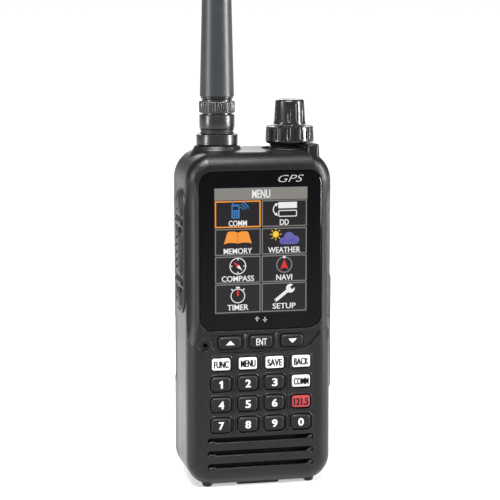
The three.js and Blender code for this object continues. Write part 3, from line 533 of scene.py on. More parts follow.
def top_roll():
    """What the rolled upper front edge takes away."""
    y, z = FRONT + TOP_ROLL_R, CASE_TOP - TOP_ROLL_R
    arc = [(y - TOP_ROLL_R * math.cos(a), z + TOP_ROLL_R * math.sin(a)) for a in quarter(14)]
    points = [(FRONT - 2, arc[0][1]), *arc, (arc[-1][0], CASE_TOP + 2), (FRONT - 2, CASE_TOP + 2)]
    return on("right", plate(points, -HALF_W - 2, HALF_W + 2))


def waist_scoop(side):
    """A long hollow along an upright front edge, fading out at both ends."""
    profile = [(0, 36), (1.2, 40), (3.4, 50), (5.2, 58), (6.1, 63), (6.4, 67)]
    profile += [(6.4, 112), (6.2, 116), (5.6, 120), (4.6, 123.4), (2.6, 127), (0, 130)]
    outside = 1.75
    return moved(turned(profile, 56), side * (HALF_W + outside), FRONT - outside)


FRONT_KEYS = {
    "nav": ["key_up", "key_enter", "key_down"],
    "light": ["key_func", "key_menu", "key_save", "key_back", "key_comm"],
    "red": ["key_emergency"],
    "digit": [f"key_{n}" for n in range(10)],
}
CORNER = {"nav": 1.4, "light": 0.7, "red": 1.0, "digit": 1.6}
MOAT = {"nav": 0.4, "light": 0.55, "red": 0.55, "digit": 0.4}
TRIM = {"nav": (0.0, 0.35), "light": (0.3, 0.2), "red": (0.3, 0.2), "digit": (0.22, 0.22)}


def each_key():
    for kind, names in FRONT_KEYS.items():
        for name in names:
            low, high = span(name)
            x, z = (KEY_LIP + trim for trim in TRIM[kind])
            size = (high.x - low.x - 2 * x, high.z - low.z - 2 * z)
            yield name, kind, middle(name), size


def round_keys(levels, beyond=None, segments=6, skip=()):
    """A shape for each key: its own outline, or one that runs beyond its sunk border."""
    parts = []
    for _, kind, at, size in each_key():
        if kind in skip:
            continue
        grow = 0 if beyond is None else MOAT[kind] + beyond
        width, height = (length + 2 * grow for length in size)
        shape = tower(width, height, CORNER[kind] + grow, levels(kind), segments)
        parts.append(on("front", shape, at.x, 0, at.z))
    return merged(*parts)


def key_moats():
    """Sunk borders with softened rims."""

    def levels(kind):
        bottom = -FRONT - (1.15 if kind == "nav" else 0.85)
        return [(bottom, -0.1), (bottom + 0.1, 0), *flared_mouth(-FRONT + KEY_RIM, 0.2)]

    return round_keys(levels, 0)


def key_rims():
    """A low bead round each sunk border."""
    top = -FRONT + KEY_RIM
    levels = [(-FRONT - 0.5, 0.25), (-FRONT, 0.2), (-FRONT + KEY_RIM * 0.7, 0.08), (top, -0.1)]
    return round_keys(lambda kind: levels, 0.35, skip=("nav",))


def key_openings():
    return round_keys(lambda kind: [(-FRONT_INSIDE - 1, 0.12), (-FRONT + 1, 0.12)], segments=5)


def display_seat():
    low, high = span("display_lens")
    at = middle("display_lens")
    size = (high.x - low.x + 0.4, high.z - low.z + 0.4)
    levels = [(-FRONT - 1.5, 0), *flared_mouth(-FRONT, 0.4, 4)]
    return on("front", tower(*size, 5.4, levels, 10), at.x, 0, at.z)


def display_window():
    at = middle("display_lens")
    levels = [(-FRONT_INSIDE - 1, 0), (-FRONT + 1, 0)]
    return on("front", tower(WINDOW_W, WINDOW_H, 1, levels, 3), at.x, 0, at.z)


def nav_trough():
    """A shallow step below the display that the three upper keys sit in."""
    points = [(-20.6, 61.4), (-19.4, 56.5), (-15.6, 53.8), (17.2, 53.8), (20.6, 55.4), (24.2, 61.4)]
    low, high = -FRONT - 0.6, -FRONT + 1
    return on("front", plate(points, low, high, 1.3, 6))


def trough_lip():
    """The bright bead along the step's lower edge, sweeping up to a point on the right."""
    path = [(-20.6, 58.6), (-20.1, 56.9), (-18.9, 55.1), (-16.6, 54.0), (-12, 53.72), (0, 53.7)]
    path += [(12, 53.72), (16.6, 54.0), (19.0, 54.9), (21.0, 56.7), (22.9, 59.2), (24.4, 61.3)]
    girth = [0.5, 0.9, 1, 1, 0.9, 0.8, 0.9, 1.2, 1.7, 2.1, 1.5, 0.2]
    curve = bpy.data.curves.new("lip", "CURVE")
    curve.dimensions = "3D"
    curve.bevel_depth = 0.24
    curve.bevel_resolution = 3
    curve.resolution_u = 6
    curve.use_fill_caps = True
    line = curve.splines.new("NURBS")
    line.points.add(len(path) - 1)
    for point, (x, z), thick in zip(line.points, path, girth):
        point.co = (x, FRONT + 0.02, z, 1)
        point.radius = thick
    line.use_endpoint_u = True
    line.order_u = 4
    bm = meshed(curve)
    bmesh.ops.scale(bm, vec=(1, 0.6, 1), space=Matrix.Translation((0, -FRONT, 0)), verts=bm.verts)
    finished("keypad_step_lip", bm, CASE, "case", (), 50)


def meshed(curve):
    """A curve or some text as a mesh."""
    holder = bpy.data.objects.new("line", curve)
    bpy.context.scene.collection.objects.link(holder)
    bpy.context.view_layer.update()
    mesh = bpy.data.meshes.new_from_object(holder)
    bm = bmesh.new()
    bm.from_mesh(mesh)
    bpy.data.meshes.remove(mesh)
    bpy.data.objects.remove(holder)
    bpy.data.curves.remove(curve)
    bmesh.ops.remove_doubles(bm, verts=bm.verts, dist=1e-5)
    return bm


def mic_ring():
    at = middle("microphone")
    turns = [math.tau * k / 12 for k in range(13)]
    profile = [(2.5 + 0.3 * math.cos(a), -FRONT + 0.22 * math.sin(a)) for a in turns]
    ring_bead = on("front", turned(profile, 40), at.x, 0, at.z)
    finished("microphone_ring", ring_bead, CASE, "case", (), 50)
    grille = on("front", pillar(1.2, -FRONT - 2.2, -FRONT - 1.6, 24), at.x + 0.3, 0, at.z)
    finished("microphone_grille", grille, DARK, "case", (), 50)


def sound_slots():
    levels = [(-FRONT_INSIDE - 1, 0), *flared_mouth(-FRONT, 0.3)]
    return merged(*[on("front", tower(42.4, 2.9, 1.4, levels, 6), SLOT_X, 0, z) for z in SLOTS])


def mic_dish(at):
    depth = -FRONT - 0.8
    profile = [(0, depth), (2.2, depth), (2.4, depth + 0.12), (2.45, -FRONT - 0.2)]
    profile += [(2.6, -FRONT - 0.03), (2.8, -FRONT + 0.02), (2.8, -FRONT + 1), (0, -FRONT + 1)]
    return on("front", turned(profile, 32), at.x, 0, at.z)


def from_side(node):
    """A node's corners and middle, and its width and height seen from the side."""
    low, high = span(node)
    return low, high, middle(node), (high.y - low.y, high.z - low.z)


def side_seat(node, side, radius):
    """The pocket that a side piece is inlaid in."""
    room = 0.2
    _, _, at, size = from_side(node)
    levels = [(HALF_W - 0.85, 0), *flared_mouth(HALF_W, 0.25, 2)]
    shape = tower(size[0] + 2 * room, size[1] + 2 * room, radius + room, levels, 10)
    return on(side, shape, 0, at.y, at.z)


def side_key(name):
    """A side key's middle, width, height and corner radius."""
    _, _, at, size = from_side(name)
    width, height = (length - 2 * SIDE_KEY_LIP for length in size)
    return at, width, height, min(width, height) * SIDE_CORNER


def side_openings():
    through = (HALF_W - WALL - 1, HALF_W + 1)
    parts = []
    for name in SIDE_KEYS:
        at, *size = side_key(name)
        parts.append(on("left", tower(*size, [(x, 0.25) for x in through], 6), 0, at.y, at.z))
    at = middle("usb_socket")
    parts.append(on("right", tower(4.3, 10, 2, [(x, 0) for x in through], 5), 0, at.y, at.z))
    at = middle("headset_jack")
    for n in (-1, 1):
        parts.append(on("right", pillar(3.5, *through, 24), 0, at.y, at.z + n * 4.6))
    return merged(*parts)


def antenna_boss(at):
    """The flared foot that carries the antenna."""
    flare = [(12.6, -6.5), (11.7, -4), (10.9, -2.4), (10.2, -1.2), (9.6, -0.2), (9.15, 0.6), (8.9, 1.2)]
    flare += [(8.7, 1.5), (8.3, 1.6)]
    profile = [(0, CASE_TOP - 6.5), *[(r, CASE_TOP + z) for r, z in flare], (0, CASE_TOP + 1.6)]
    return moved(turned(profile, 56), at.x, at.y)


def knob_guard():
    """The horn on the shoulder that shields the knobs."""
    levels = [(CASE_TOP - 5, 0.25), (CASE_TOP - 1, 0.1), *rounded_top(SHELL_HIGH.z, 1.1, 5)]
    return on("top", tower(5.0, 7.2, 1.7, levels, 6), HALF_W - 7.2, -10.3)


def front_feet():
    profile = [(0, 0), (1.3, 0), (1.6, 0.1), (1.8, 0.35), (2.1, 0.8), (2.1, 3.2), (0, 3.2)]
    return merged(*[moved(turned(profile, 28), side * 20.5, -12) for side in (-1, 1)])


def front_shell():
    stud = middle("antenna_socket")
    knob = middle("knob_seat")
    bm = case_slice(FRONT, HEAD_PARTING)
    bm = carved(bm, block((-40, PARTING, -5), (40, 30, HEAD_Z)))
    bm = carved(bm, top_roll())
    bm = carved(bm, merged(waist_scoop(-1), waist_scoop(1)))
    bm = carved(bm, knob_guard(), "UNION")
    bm = carved(bm, antenna_boss(stud), "UNION")
    well = [(0, 131), (10.7, 131), (11.0, 131.2), (11.2, 131.8), (11.4, 132.0), (11.4, 140), (0, 140)]
    bm = carved(bm, moved(turned(well, 64), knob.x, knob.y))
    bm = carved(bm, front_feet(), "UNION")
    belly = block((-8.7, -13, CASE_LOW - 0.7), (8.3, PARTING - 0.6, CASE_LOW + 1.4), 0.5)
    bm = carved(bm, belly, "UNION")
    levels = [(-30, 0), (-FRONT_INSIDE - HOLLOW_R, 0), *rounded_top(-FRONT_INSIDE, HOLLOW_R, 4)[1:]]
    inside = tower(2 * (HALF_W - WALL), ROOF - CASE_LOW - WALL, (6.2, 7.2), levels, 6)
    bm = carved(bm, on("front", inside, z=(ROOF + CASE_LOW + WALL) / 2))
    holes = [(STUD_HOLE_R, stud), (4.8, knob)]
    holes = [moved(pillar(radius, ROOF - 1, 140, 32), at.x, at.y) for radius, at in holes]
    bm = carved(bm, merged(*holes))
    bm = carved(bm, nav_trough())
    seats = merged(
        display_seat(),
        sound_slots(),
        mic_dish(middle("microphone")),
        side_seat("side_bezel", "left", PAD_R),
        side_seat("jack_cover", "right", COVER_R),
        side_seat("data_port_cover", "right", COVER_R),
    )
    bm = carved(bm, seats)
    bm = carved(bm, key_rims(), "UNION")
    bm = carved(bm, key_moats())
    at = middle("microphone")
    mic_hole = on("front", pillar(0.95, -FRONT_INSIDE - 1, -FRONT, 20), at.x + 0.3, 0, at.z)
    bm = carved(bm, merged(key_openings(), display_window(), side_openings(), mic_hole))
    return finished("front_shell", bm, CASE, "case", ["front_case"], 32, True)


def rear_frame():
    bm = case_slice(CHASSIS_LOW.y, BACK)
    bm = carved(bm, block((-40, CHASSIS_BACK, -5), (40, 40, CHASSIS_LOW.z + 110)))
    bm = carved(bm, block((-40, -10, HEAD_Z), (40, HEAD_PARTING + 0.3, 150)))
    reach = HALF_W - SHOULDER_R + 2.2  # stays clear of the rounded shoulders
    bm = carved(bm, block((-reach, 0, 114), (reach, BACK - 2, ROOF)))
    contacts = block((-8.3, 0, 9.7), (8.3, 12, 18.3))
    seats = [on("back", pillar(2.4, CHASSIS_BACK - 1, 20, 24), n * 23.2, 0, 30) for n in (-1, 1)]
    bm = carved(bm, merged(contacts, *seats))
    return finished("rear_frame", bm, CASE_REAR, "case", ["rear_chassis"], 32, True)


# ------------------------------------------------------------------ keys and legends


def words(text, width, height, side, x, y, z, slant=0.0, weight=0.012, smear=0.0):
    """Print fitted to a width and a height; smear thickens its upright strokes."""
    curve = bpy.data.curves.new("print", "FONT")
    curve.body = text
    curve.offset = weight
    curve.extrude = 0.01
    curve.resolution_u = 4
    curve.shear = slant
    bm = meshed(curve)
    low = Vector([min(v.co[k] for v in bm.verts) for k in range(3)])
    high = Vector([max(v.co[k] for v in bm.verts) for k in range(3)])
    moved(bm, *-(low + high) / 2)
    old = high - low
    size = ((width - smear) / old.x, height / old.y, PRINT_T / old.z)
    bmesh.ops.scale(bm, vec=size, verts=bm.verts)
    if smear:
        shares = (-0.5, 0, 0.5)
        copies = [moved(bm.copy(), share * smear, 0, share * 0.004) for share in shares]
        bm.free()
        bm = merged(*copies)
    return on(side, bm, x, y, z)


LEGENDS = {
    "key_enter": ("ENT", 4.2, 2.6),
    "key_func": ("FUNC", 6.0, 2.75),
    "key_menu": ("MENU", 6.0, 2.75),
    "key_save": ("SAVE", 6.0, 2.75),
    "key_back": ("BACK", 6.0, 2.75),
    "key_comm": ("COMM", 6.1, 2.75),
    "key_emergency": ("121.5", 6.0, 2.9),
}


def legend(name, at, top):
    if name in ("key_up", "key_down"):
        flip = 1 if name == "key_up" else -1
        points = [(-1.75, -0.8 * flip), (1.75, -0.8 * flip), (0, 0.9 * flip)]
        return on("front", plate(points, 0, PRINT_T, 0.12, 2), at.x, top, at.z)
    if name == "key_1":
        points = [(-0.2, -1.52), (0.58, -1.52), (0.58, 1.52), (0.05, 1.52), (-0.8, 0.95)]
        points += [(-0.8, 0.25), (-0.2, 0.6)]
        return on("front", plate(points, 0, PRINT_T), at.x, top, at.z)
    weight, smear = (0.0, 0.0) if name == "key_enter" else (0.012, 0.24 if name in LEGENDS else 0.18)
    text, width, height = LEGENDS.get(name, (name[-1], 2.25, 3.05))
    return words(text, width, height, "front", at.x, top, at.z, weight=weight, smear=smear)


KEY_FINISH = {
    "nav": (KEY, WHITE_INK, "key_rubber"),
    "digit": (KEY, WHITE_INK, "key_rubber"),
    "light": (LIGHT_KEY, BLACK_INK, "light_key"),
    "red": (RED_KEY, BLACK_INK, "red_key"),
}


def key_caps():
    for name, kind, at, size in each_key():
        low, high = span(name)
        inner, lip, top = -high.y, -high.y + 0.7, -low.y - PRINT_RISE
        flange = KEY_LIP + min(TRIM[kind])
        levels = [(inner, flange), (lip, flange), (lip, 0)]
        if kind in ("digit", "nav"):
            levels += [(top - 0.75, 0), (top - 0.62, -0.04), (top - 0.5, -0.12)]
            levels += [(top - 0.12, -0.62), (top - 0.03, -0.8), (top, -1.0)]
        else:
            levels += [(top - 0.4, 0), (top - 0.2, -0.04), (top - 0.06, -0.14), (top, -0.32)]
        cap = tower(*size, CORNER[kind], levels, 6)
        finish, ink, slot = KEY_FINISH[kind]
        cap = on("front", cap, at.x, 0, at.z)
        finished(f"{name}_cap", cap, finish, name, [name], 40)
        finished(f"{name}_legend", legend(name, at, low.y + PRINT_RISE - 0.005), ink, name, (), 60)


RIB = {"nav": (1.7, 6.4, 0.5), "light": (1.15, 5.2, 0.45), "digit": (1.15, 6.9, 0.45)}


def key_ribs():
    """Upright ribs between neighbouring keys."""
    parts = []
    rows = {}
    for _, kind, at, size in each_key():
        rows.setdefault(round(at.z), []).append((at, size, kind))
    for row in rows.values():
        row.sort(key=lambda item: item[0].x)
        for (left, size_l, kind), (right, size_r, _) in zip(row, row[1:]):
            x = (left.x + size_l[0] / 2 + right.x - size_r[0] / 2) / 2
            wide, tall, rise = RIB.get(kind, RIB["digit"])
            rise -= FRONT
            peak = wide / 2 - 0.16
            levels = [(-FRONT - 0.9, 0), (-FRONT - 0.1, 0), (rise - 0.08, 0.08 - peak), (rise, -peak)]
            rib = tower(wide, tall, wide / 2, levels, 4)
            parts.append(on("front", rib, x, 0, left.z))
    finished("keypad_ribs", merged(*parts), CASE, "case", (), 40)


def slot_lips():
    """The lower lip of each sound slot, with its rounded ends."""
    root = -FRONT - 2.2
    low_lip = rounded_top(-FRONT + 0.12, 0.6, 5)
    parts = []
    for z in SLOTS:
        bar = tower(41.9, 1.5, 0.72, [(root, 0), (-FRONT - 0.5, 0), *low_lip[1:]], 6)
        knuckle = tower(3.4, 1.9, 0.9, [(root, 0), *rounded_top(-FRONT + 0.2, 0.75, 5)], 6)
        hook = tower(3.2, 1.3, 0.62, [(root, 0), *low_lip], 6)
        tilt = Matrix.Rotation(math.radians(38), 4, "Z")
        parts.append(on("front", bar, SLOT_X, 0, z - 1.1))
        parts.append(on("front", knuckle, -19.4, 0, z - 0.75))
        parts.append(placed(hook, facing("front", 19.3, 0, z - 0.25) @ tilt))
    finished("sound_slot_lips", merged(*parts), CASE, "case", (), 40)
    cloth = block((-22.5, FRONT_INSIDE + 0.05, 5.8), (22.5, FRONT_INSIDE + 0.25, 21))
    finished("sound_cloth", cloth, DARK, "case", ())


# ------------------------------------------------------------------ display


def display():
    low, high = span("display_lens")
    at = middle("display_lens")
    size = (high.x - low.x, high.z - low.z)
    levels = [(-high.y, 0), (-low.y - 0.3, 0), (-low.y - 0.12, -0.06), (-low.y, -0.3)]
    lens = on("front", tower(*size, 5.3, levels, 10), at.x, 0, at.z)
    finished("display_panel", lens, LENS, "case", ["display_lens"], 25)


GLOW = {
    "white": (0.85, 0.85, 0.85),
    "grey": (0.24, 0.23, 0.21),
    "line": (0.2, 0.19, 0.175),
    "orange": (0.95, 0.32, 0.03),
    "blue": (0.03, 0.19, 0.48),
    "violet": (0.13, 0.12, 0.42),
    "yellow": (0.95, 0.62, 0.03),
    "red": (0.75, 0.02, 0.02),
    "black": (0.0035, 0.002, 0.002),
}


class Screen:
    """Flat shapes on the display, placed in millimetres from its upper left corner."""

    def __init__(self):
        at = middle("display_lens")
        self.left = at.x - SCREEN_W / 2
        self.top = at.z + SCREEN_H / 2
        self.face = span("display_lens")[0].y
        self.shapes = {}

    def put(self, colour, shape, x, y, turn=0.0, layer=1):
        spin = Matrix.Rotation(turn, 4, "Z")
        level = self.face - 0.008 * layer
        place = facing("front", self.left + x, level, self.top - y)
        self.shapes.setdefault(colour, []).append(placed(shape, place @ spin))

    def bar(self, colour, x, y, width, height, radius=0.05, turn=0.0, layer=1):
        shape = tower(width, height, radius, [(-0.004, 0), (0.004, 0)], 4)
        self.put(colour, shape, x, y, turn, layer)

    def frame(self, colour, x, y, width, height, line, layer=1):
        for n in (-1, 1):
            self.bar(colour, x + n * (width - line) / 2, y, line, height, 0, 0, layer)
            self.bar(colour, x, y + n * (height - line) / 2, width - line * 2, line, 0, 0, layer)

    def disc(self, colour, x, y, radius, layer=1):
        self.put(colour, pillar(radius, -0.004, 0.004, 24), x, y, 0, layer)

    def hoop(self, colour, x, y, radius, line, layer=1, arc=math.tau, start=0.0, steps=40):
        bm = bmesh.new()
        inner, outer = radius - line / 2, radius + line / 2
        corners = [(inner, -0.004), (outer, -0.004), (outer, 0.004), (inner, 0.004)]
        verts = [bm.verts.new((r, 0, z)) for r, z in corners]
        if arc < math.tau:
            bm.faces.new(verts)
            geometry = bm.faces[:]
        else:
            pairs = zip(verts, verts[1:] + verts[:1])
            geometry = verts + [bm.edges.new(pair) for pair in pairs]
        spun(bm, geometry, arc, steps)
        bmesh.ops.remove_doubles(bm, verts=bm.verts, dist=1e-5)
        self.put(colour, bm, x, y, start, layer)

    def outline(self, colour, points, x, y, turn=0.0, layer=1, soften=0.0):
        self.put(colour, plate(points, -0.004, 0.004, soften, 3), x, y, turn, layer)

    def text(self, colour, body, x, y, width, height, layer=1):
        place = (self.left + x, self.face - 0.008 * layer, self.top - y)
        shape = words(body, width, height, "front", *place, weight=0.006, smear=0.1)
        self.shapes.setdefault(colour, []).append(shape)

    def finish(self):
        for colour, shapes in self.shapes.items():
            glow = lit(f"lit_{colour}", GLOW[colour])
            finished(f"screen_{colour}", merged(*shapes), glow, "case", (), 60)


def screen_picture():
    screen = Screen()
    screen.bar("black", SCREEN_W / 2, SCREEN_H / 2, SCREEN_W, SCREEN_H, 0, 0, 0)
    screen.bar("grey", SCREEN_W / 2, 2.35, SCREEN_W, 4.7, 0, 0, 1)
    screen.text("white", "MENU", SCREEN_W / 2, 2.45, 7.2, 3.2, 2)
    rows = [(4.95, 10.35), (15.75, 10.3), (26.45, 10.45), (37.25, 11.35)]
    columns = [(0.15, 18.0), (18.6, 17.9)]
    centres = []
    for top, tall in rows:
        for left, wide in columns:
            x, y = left + wide / 2, top + tall / 2
            chosen = not centres
            colour, line = ("orange", 0.5) if chosen else ("line", 0.42)
            screen.frame(colour, x, y, wide, tall, line, 1)
            centres.append((x, y))
    names = ["COMM", "DD", "MEMORY", "WEATHER", "COMPASS", "NAVI", "TIMER", "SETUP"]
    widths = [7.2, 3.6, 11.2, 12.8, 12.8, 6.4, 8.4, 9.2]
    for (x, y), name, width in zip(centres, names, widths):
        screen.text("white", name, x, y + 3.5, width, 2.2, 2)
    pictures = [radio_picture, bands_picture, book_picture, sky_picture]
    pictures += [needle_picture, heading_picture, watch_picture, spanner_picture]
    for (x, y), picture in zip(centres, pictures):
        picture(screen, x, y - 1.4)
    screen.finish()


def radio_picture(screen, x, y):
    screen.bar("blue", x - 0.9, y + 0.3, 3.2, 5.4, 0.5, 0, 2)
    screen.bar("blue", x - 1.9, y - 3.0, 0.5, 1.6, 0.2, 0, 2)
    screen.bar("black", x - 0.9, y - 0.9, 2.2, 1.5, 0.1, 0, 3)
    for row in range(3):
        for column in range(3):
            screen.bar("black", x - 1.7 + column * 0.8, y + 0.7 + row * 0.75, 0.5, 0.4, 0.1, 0, 3)
    for radius in (1.4, 2.4, 3.4):
        screen.hoop("blue", x + 0.9, y + 0.1, radius, 0.42, 2, math.pi / 2.6, 0.25, 12)


def bands_picture(screen, x, y):
    screen.bar("white", x + 1.3, y - 1.7, 7.4, 2.4, 0.1, 0, 2)
    screen.bar("white", x + 1.3, y + 1.5, 7.4, 2.6, 0.5, 0, 2)
    screen.bar("black", x + 1.3, y + 1.5, 6.7, 1.9, 0.3, 0, 3)
    screen.hoop("white", x - 2.3, y - 0.1, 2.1, 0.4, 2, math.pi * 0.7, math.pi * 0.65, 14)
    for n in (-1, 1):
        points = [(-0.75, 0), (0.55, 0.7), (0.55, -0.7)]
        screen.outline("white", points, x - 3.1, y - 0.1 + n * 2.0, n * 2.4, 2)


def book_picture(screen, x, y):
    for n in (-1, 1):
        points = [(0.08, -2.0), (0.08, 2.3), (1.5, 2.75), (3.4, 2.7), (4.1, 2.45), (5.5, -2.2)]
        points += [(4.4, -1.75), (2.8, -1.6), (1.2, -1.75)]
        flat = [(n * px, py) for px, py in points]
        screen.outline("orange", flat, x, y, 0, 2, 0.15)


def sky_picture(screen, x, y):
    cx, cy = x - 3.4, y - 1.2
    screen.disc("yellow", cx, cy, 1.25, 2)
    for n in range(8):
        turn = n * math.pi / 4
        ray = (cx + 1.95 * math.cos(turn), cy + 1.95 * math.sin(turn))
        screen.bar("yellow", *ray, 0.75, 0.3, 0.1, -turn, 2)
    for dx, dy, radius in ((-1.6, 1.5, 1.3), (0.9, 0.1, 2.1), (3.3, 1.1, 1.65)):
        screen.disc("violet", x + 1 + dx, y + dy, radius, 3)
    screen.bar("violet", x + 1.9, y + 1.8, 6.6, 2.0, 0.9, 0, 3)


def needle_picture(screen, x, y):
    screen.hoop("white", x, y, 3.1, 0.36, 2)
    for n in range(4):
        turn = n * math.pi / 2
        screen.bar("white", x + 2.5 * math.cos(turn), y + 2.5 * math.sin(turn), 0.6, 0.45, 0.1, -turn, 2)
    screen.outline("red", [(0, 2.6), (0.65, 0), (-0.65, 0)], x, y, math.radians(45), 3)
    screen.outline("white", [(0, -2.6), (0.65, 0), (-0.65, 0)], x, y, math.radians(45), 3)


def heading_picture(screen, x, y):
    screen.hoop("line", x, y, 3.0, 0.5, 2)
    screen.bar("white", x, y - 3.0, 1.0, 0.9, 0.3, 0, 3)
    screen.outline("red", [(0, 2.2), (1.65, -1.9), (0, -1.0), (-1.65, -1.9)], x, y, 0, 3)


def watch_picture(screen, x, y):
    screen.hoop("white", x, y + 0.4, 2.7, 0.36, 2)
    screen.bar("white", x, y - 2.9, 1.5, 0.6, 0.1, 0, 2)
    for n in (-1, 1):
        screen.bar("white", x + n * 2.3, y - 2.1, 0.8, 0.5, 0.1, n * 0.8, 2)
    screen.bar("red", x, y - 0.7, 0.75, 2.3, 0.3, 0, 3)


def spanner_picture(screen, x, y):
    tilt = math.radians(38)
    reach = Vector((math.cos(tilt), -math.sin(tilt)))
    screen.bar("white", x - 0.6, y + 0.5, 8.0, 1.25, 0.6, tilt, 2)
    head = (x + reach.x * 3.9 - 0.6, y + reach.y * 3.9 + 0.5)
    screen.disc("white", head[0], head[1], 1.75, 2)
    screen.bar("black", head[0] + 1.2, head[1] - 0.75, 2.4, 1.25, 0.2, tilt, 3)
    screen.disc("black", x - reach.x * 3.7 - 0.6, y - reach.y * 3.7 + 0.5, 0.28, 3)


def panel_print():
    """The small marks on the panel outside the picture."""
    face = span("display_lens")[0].y - 0.01
    parts = [words("GPS", 10.2, 2.7, "front", 11.8, face, 121.6, slant=0.35, weight=-0.008)]
    for n in (-1, 1):
        shaft = tower(0.4, 1.6, 0.1, [(-0.004, 0), (0.004, 0)], 2)
        parts.append(on("front", shaft, n * 1.55, face, 66.9))
        points = [(-0.95, -0.1 * n), (0.95, -0.1 * n), (0, -1.2 * n)]
        parts.append(on("front", plate(points, -0.004, 0.004), n * 1.55, face, 66.9))
    finished("panel_marks", merged(*parts), SILVER_INK, "case", (), 60)


# ------------------------------------------------------------------ left side


def side_pad():
    low, high, at, size = from_side("side_bezel")
    out = -low.x
    levels = [(-high.x, 0), (out - 0.7, 0), *rounded_top(out - 0.12, 0.55, 4)[1:], (out, -0.75)]
    levels += [(out, -1.0), (out - 0.25, -1.25), (out - 0.3, -1.6)]
    bm = on("left", tower(*size, PAD_R, levels, 14), 0, at.y, at.z)
    cutters = []
    for name in SIDE_KEYS:
        spot, *outline = side_key(name)
        hole = tower(*outline, [(20, 0.2), *flared_mouth(out - 0.3, 0.2, 2)], 8)
        cutters.append(on("left", hole, 0, spot.y, spot.z))
    bm = carved(bm, merged(*cutters))
    finished("side_pad", bm, PAD, "case", ["side_bezel"], 35)
    pad_ridges(at, size, out)


def pad_ridges(at, size, out):
    """Peaked cross ribs that part the three side keys."""
    parts = []
    for z in (104.3, 80.9):
        points = [(-1.9, out - 0.6), (-0.45, out + 0.75), (0.45, out + 0.75), (1.9, out - 0.6)]
        rib = plate(points, -size[0] / 2 + 2.2, size[0] / 2 - 2.2, 0.18, 3)
        turn = Matrix(((0, -1, 0, 0), (0, 0, 1, at.y), (1, 0, 0, z), (0, 0, 0, 1)))
        parts.append(placed(rib, turn))
    finished("side_pad_ribs", merged(*parts), PAD, "case", (), 35)


def side_keys():
    for name in SIDE_KEYS:
        low, high = span(name)
        at, *outline = side_key(name)
        inner, out, lip = -high.x, -low.x, SIDE_KEY_LIP
        levels = [(inner, lip), (inner + 0.7, lip), (inner + 0.7, 0), (out - 1.25, 0)]
        levels += [(out - 1.0, -0.1), (out - 0.55, -0.55), (out - 0.2, -1.3), (out - 0.05, -2.2)]
        levels += [(out, -3.0)]
        bm = on("left", tower(*outline, levels, 10), 0, at.y, at.z)
        if name == "ptt_button":
            marks = [talk_groove(at, n, out) for n in range(5)]
        elif name == "monitor_button":
            spots = (at.z - 2.2, at.z + 2.2)
            marks = [on("left", pillar(0.75, out - 0.45, out + 1, 20), 0, at.y, z) for z in spots]
        else:
            marks = lamp_sign(at, out)
        bm = carved(bm, merged(*marks))
        finished(f"{name}_cap", bm, PAD, name, [name], 35)


def talk_groove(at, n, out):
    bar = tower(6.2, 1.0, 0.45, [(out - 0.5, -0.2), (out + 1, 0.25)], 5)
    tilt = Matrix.Rotation(math.radians(18), 4, "Z")
    return placed(bar, facing("left", 0, at.y, at.z + (n - 2) * 2.9) @ tilt)


def lamp_sign(at, out):
    """A small bulb: a dot with four short rays."""
    parts = [on("left", pillar(0.8, out - 0.35, out + 1, 20), 0, at.y, at.z - 0.2)]
    for n in range(5):
        turn = math.pi * (n / 4)
        ray = tower(0.9, 0.28, 0.1, [(out - 0.35, 0), (out + 1, 0)], 3)
        spot = (at.y - 1.75 * math.cos(turn), at.z - 0.2 + 1.75 * math.sin(turn))
        place = facing("left", 0, *spot) @ Matrix.Rotation(turn, 4, "Z")
        parts.append(placed(ray, place))
    return parts


# ------------------------------------------------------------------ right side


def headset_cover():
    low, high, at, size = from_side("jack_cover")
    levels = [(low.x, 0), (high.x - 0.55, 0), *rounded_top(high.x, 0.55, 4)[1:]]
    bm = on("right", tower(*size, COVER_R, levels, 8), 0, at.y, at.z)
    screws = ("jack_screw_upper", "jack_screw_lower")
    points = [(0, -0.3), (2.4, -0.3), (2.45, -0.1), (2.75, 0.05), (2.75, 1), (0, 1)]
    profile = rim(0, high.x, *points)
    seats = []
    for name in screws:
        spot = middle(name)
        seats.append(on("right", turned(profile, 32), 0, spot.y, spot.z))
    for n in (-1, 1):
        mark = tower(7.4, 0.5, 0.2, [(high.x - 0.3, 0), (high.x + 1, 0.3)], 3)
        seats.append(on("right", mark, 0, at.y, at.z + n * 2.2))
    bm = carved(bm, merged(*seats))
    finished("headset_cover", bm, PAD, "case", ["jack_cover"], 35)
    for name in screws:
        cover_screw(name, high.x)


def data_flap():
    low, high, at, size = from_side("data_port_cover")
    leaf = low.x + 1.3
    levels = [(low.x, 0), (leaf - 0.35, 0), *rounded_top(leaf, 0.3, 3)[1:]]
    bm = on("right", tower(*size, COVER_R, levels, 8), 0, at.y, at.z)
    edge = (leaf - low.x) / 2
    hinge = Vector((low.x + edge, high.y - edge, 0))
    bm = carved(bm, block((0, hinge.y, 0), (2 * HALF_W, 2 * BACK, CASE_TOP)))
    bm = carved(bm, moved(pillar(edge, low.z + 2, high.z - 2, 24), *hinge), "UNION")
    crown = [(leaf - 1, -0.8), (leaf, -0.8), (high.x - 0.3, -1.05), (high.x - 0.08, -1.25)]
    crown += [(high.x, -1.6)]
    bulge = tower(size[0] - 1.6, size[1], COVER_R, crown, 8)
    bm = carved(bm, on("right", bulge, 0, at.y - 0.8, at.z), "UNION")
    dents = []
    for n in range(4):
        dent = tower(6.0, 0.9, 0.4, [(high.x - 0.35, -0.1), (high.x + 0.6, 0.3)], 4)
        dents.append(on("right", dent, 0, at.y - 0.8, low.z + 5.4 + n * 2.2))
    bm = carved(bm, merged(*dents))
    finished("data_flap", bm, PAD, "data_cover", ["data_port_cover"], 35)


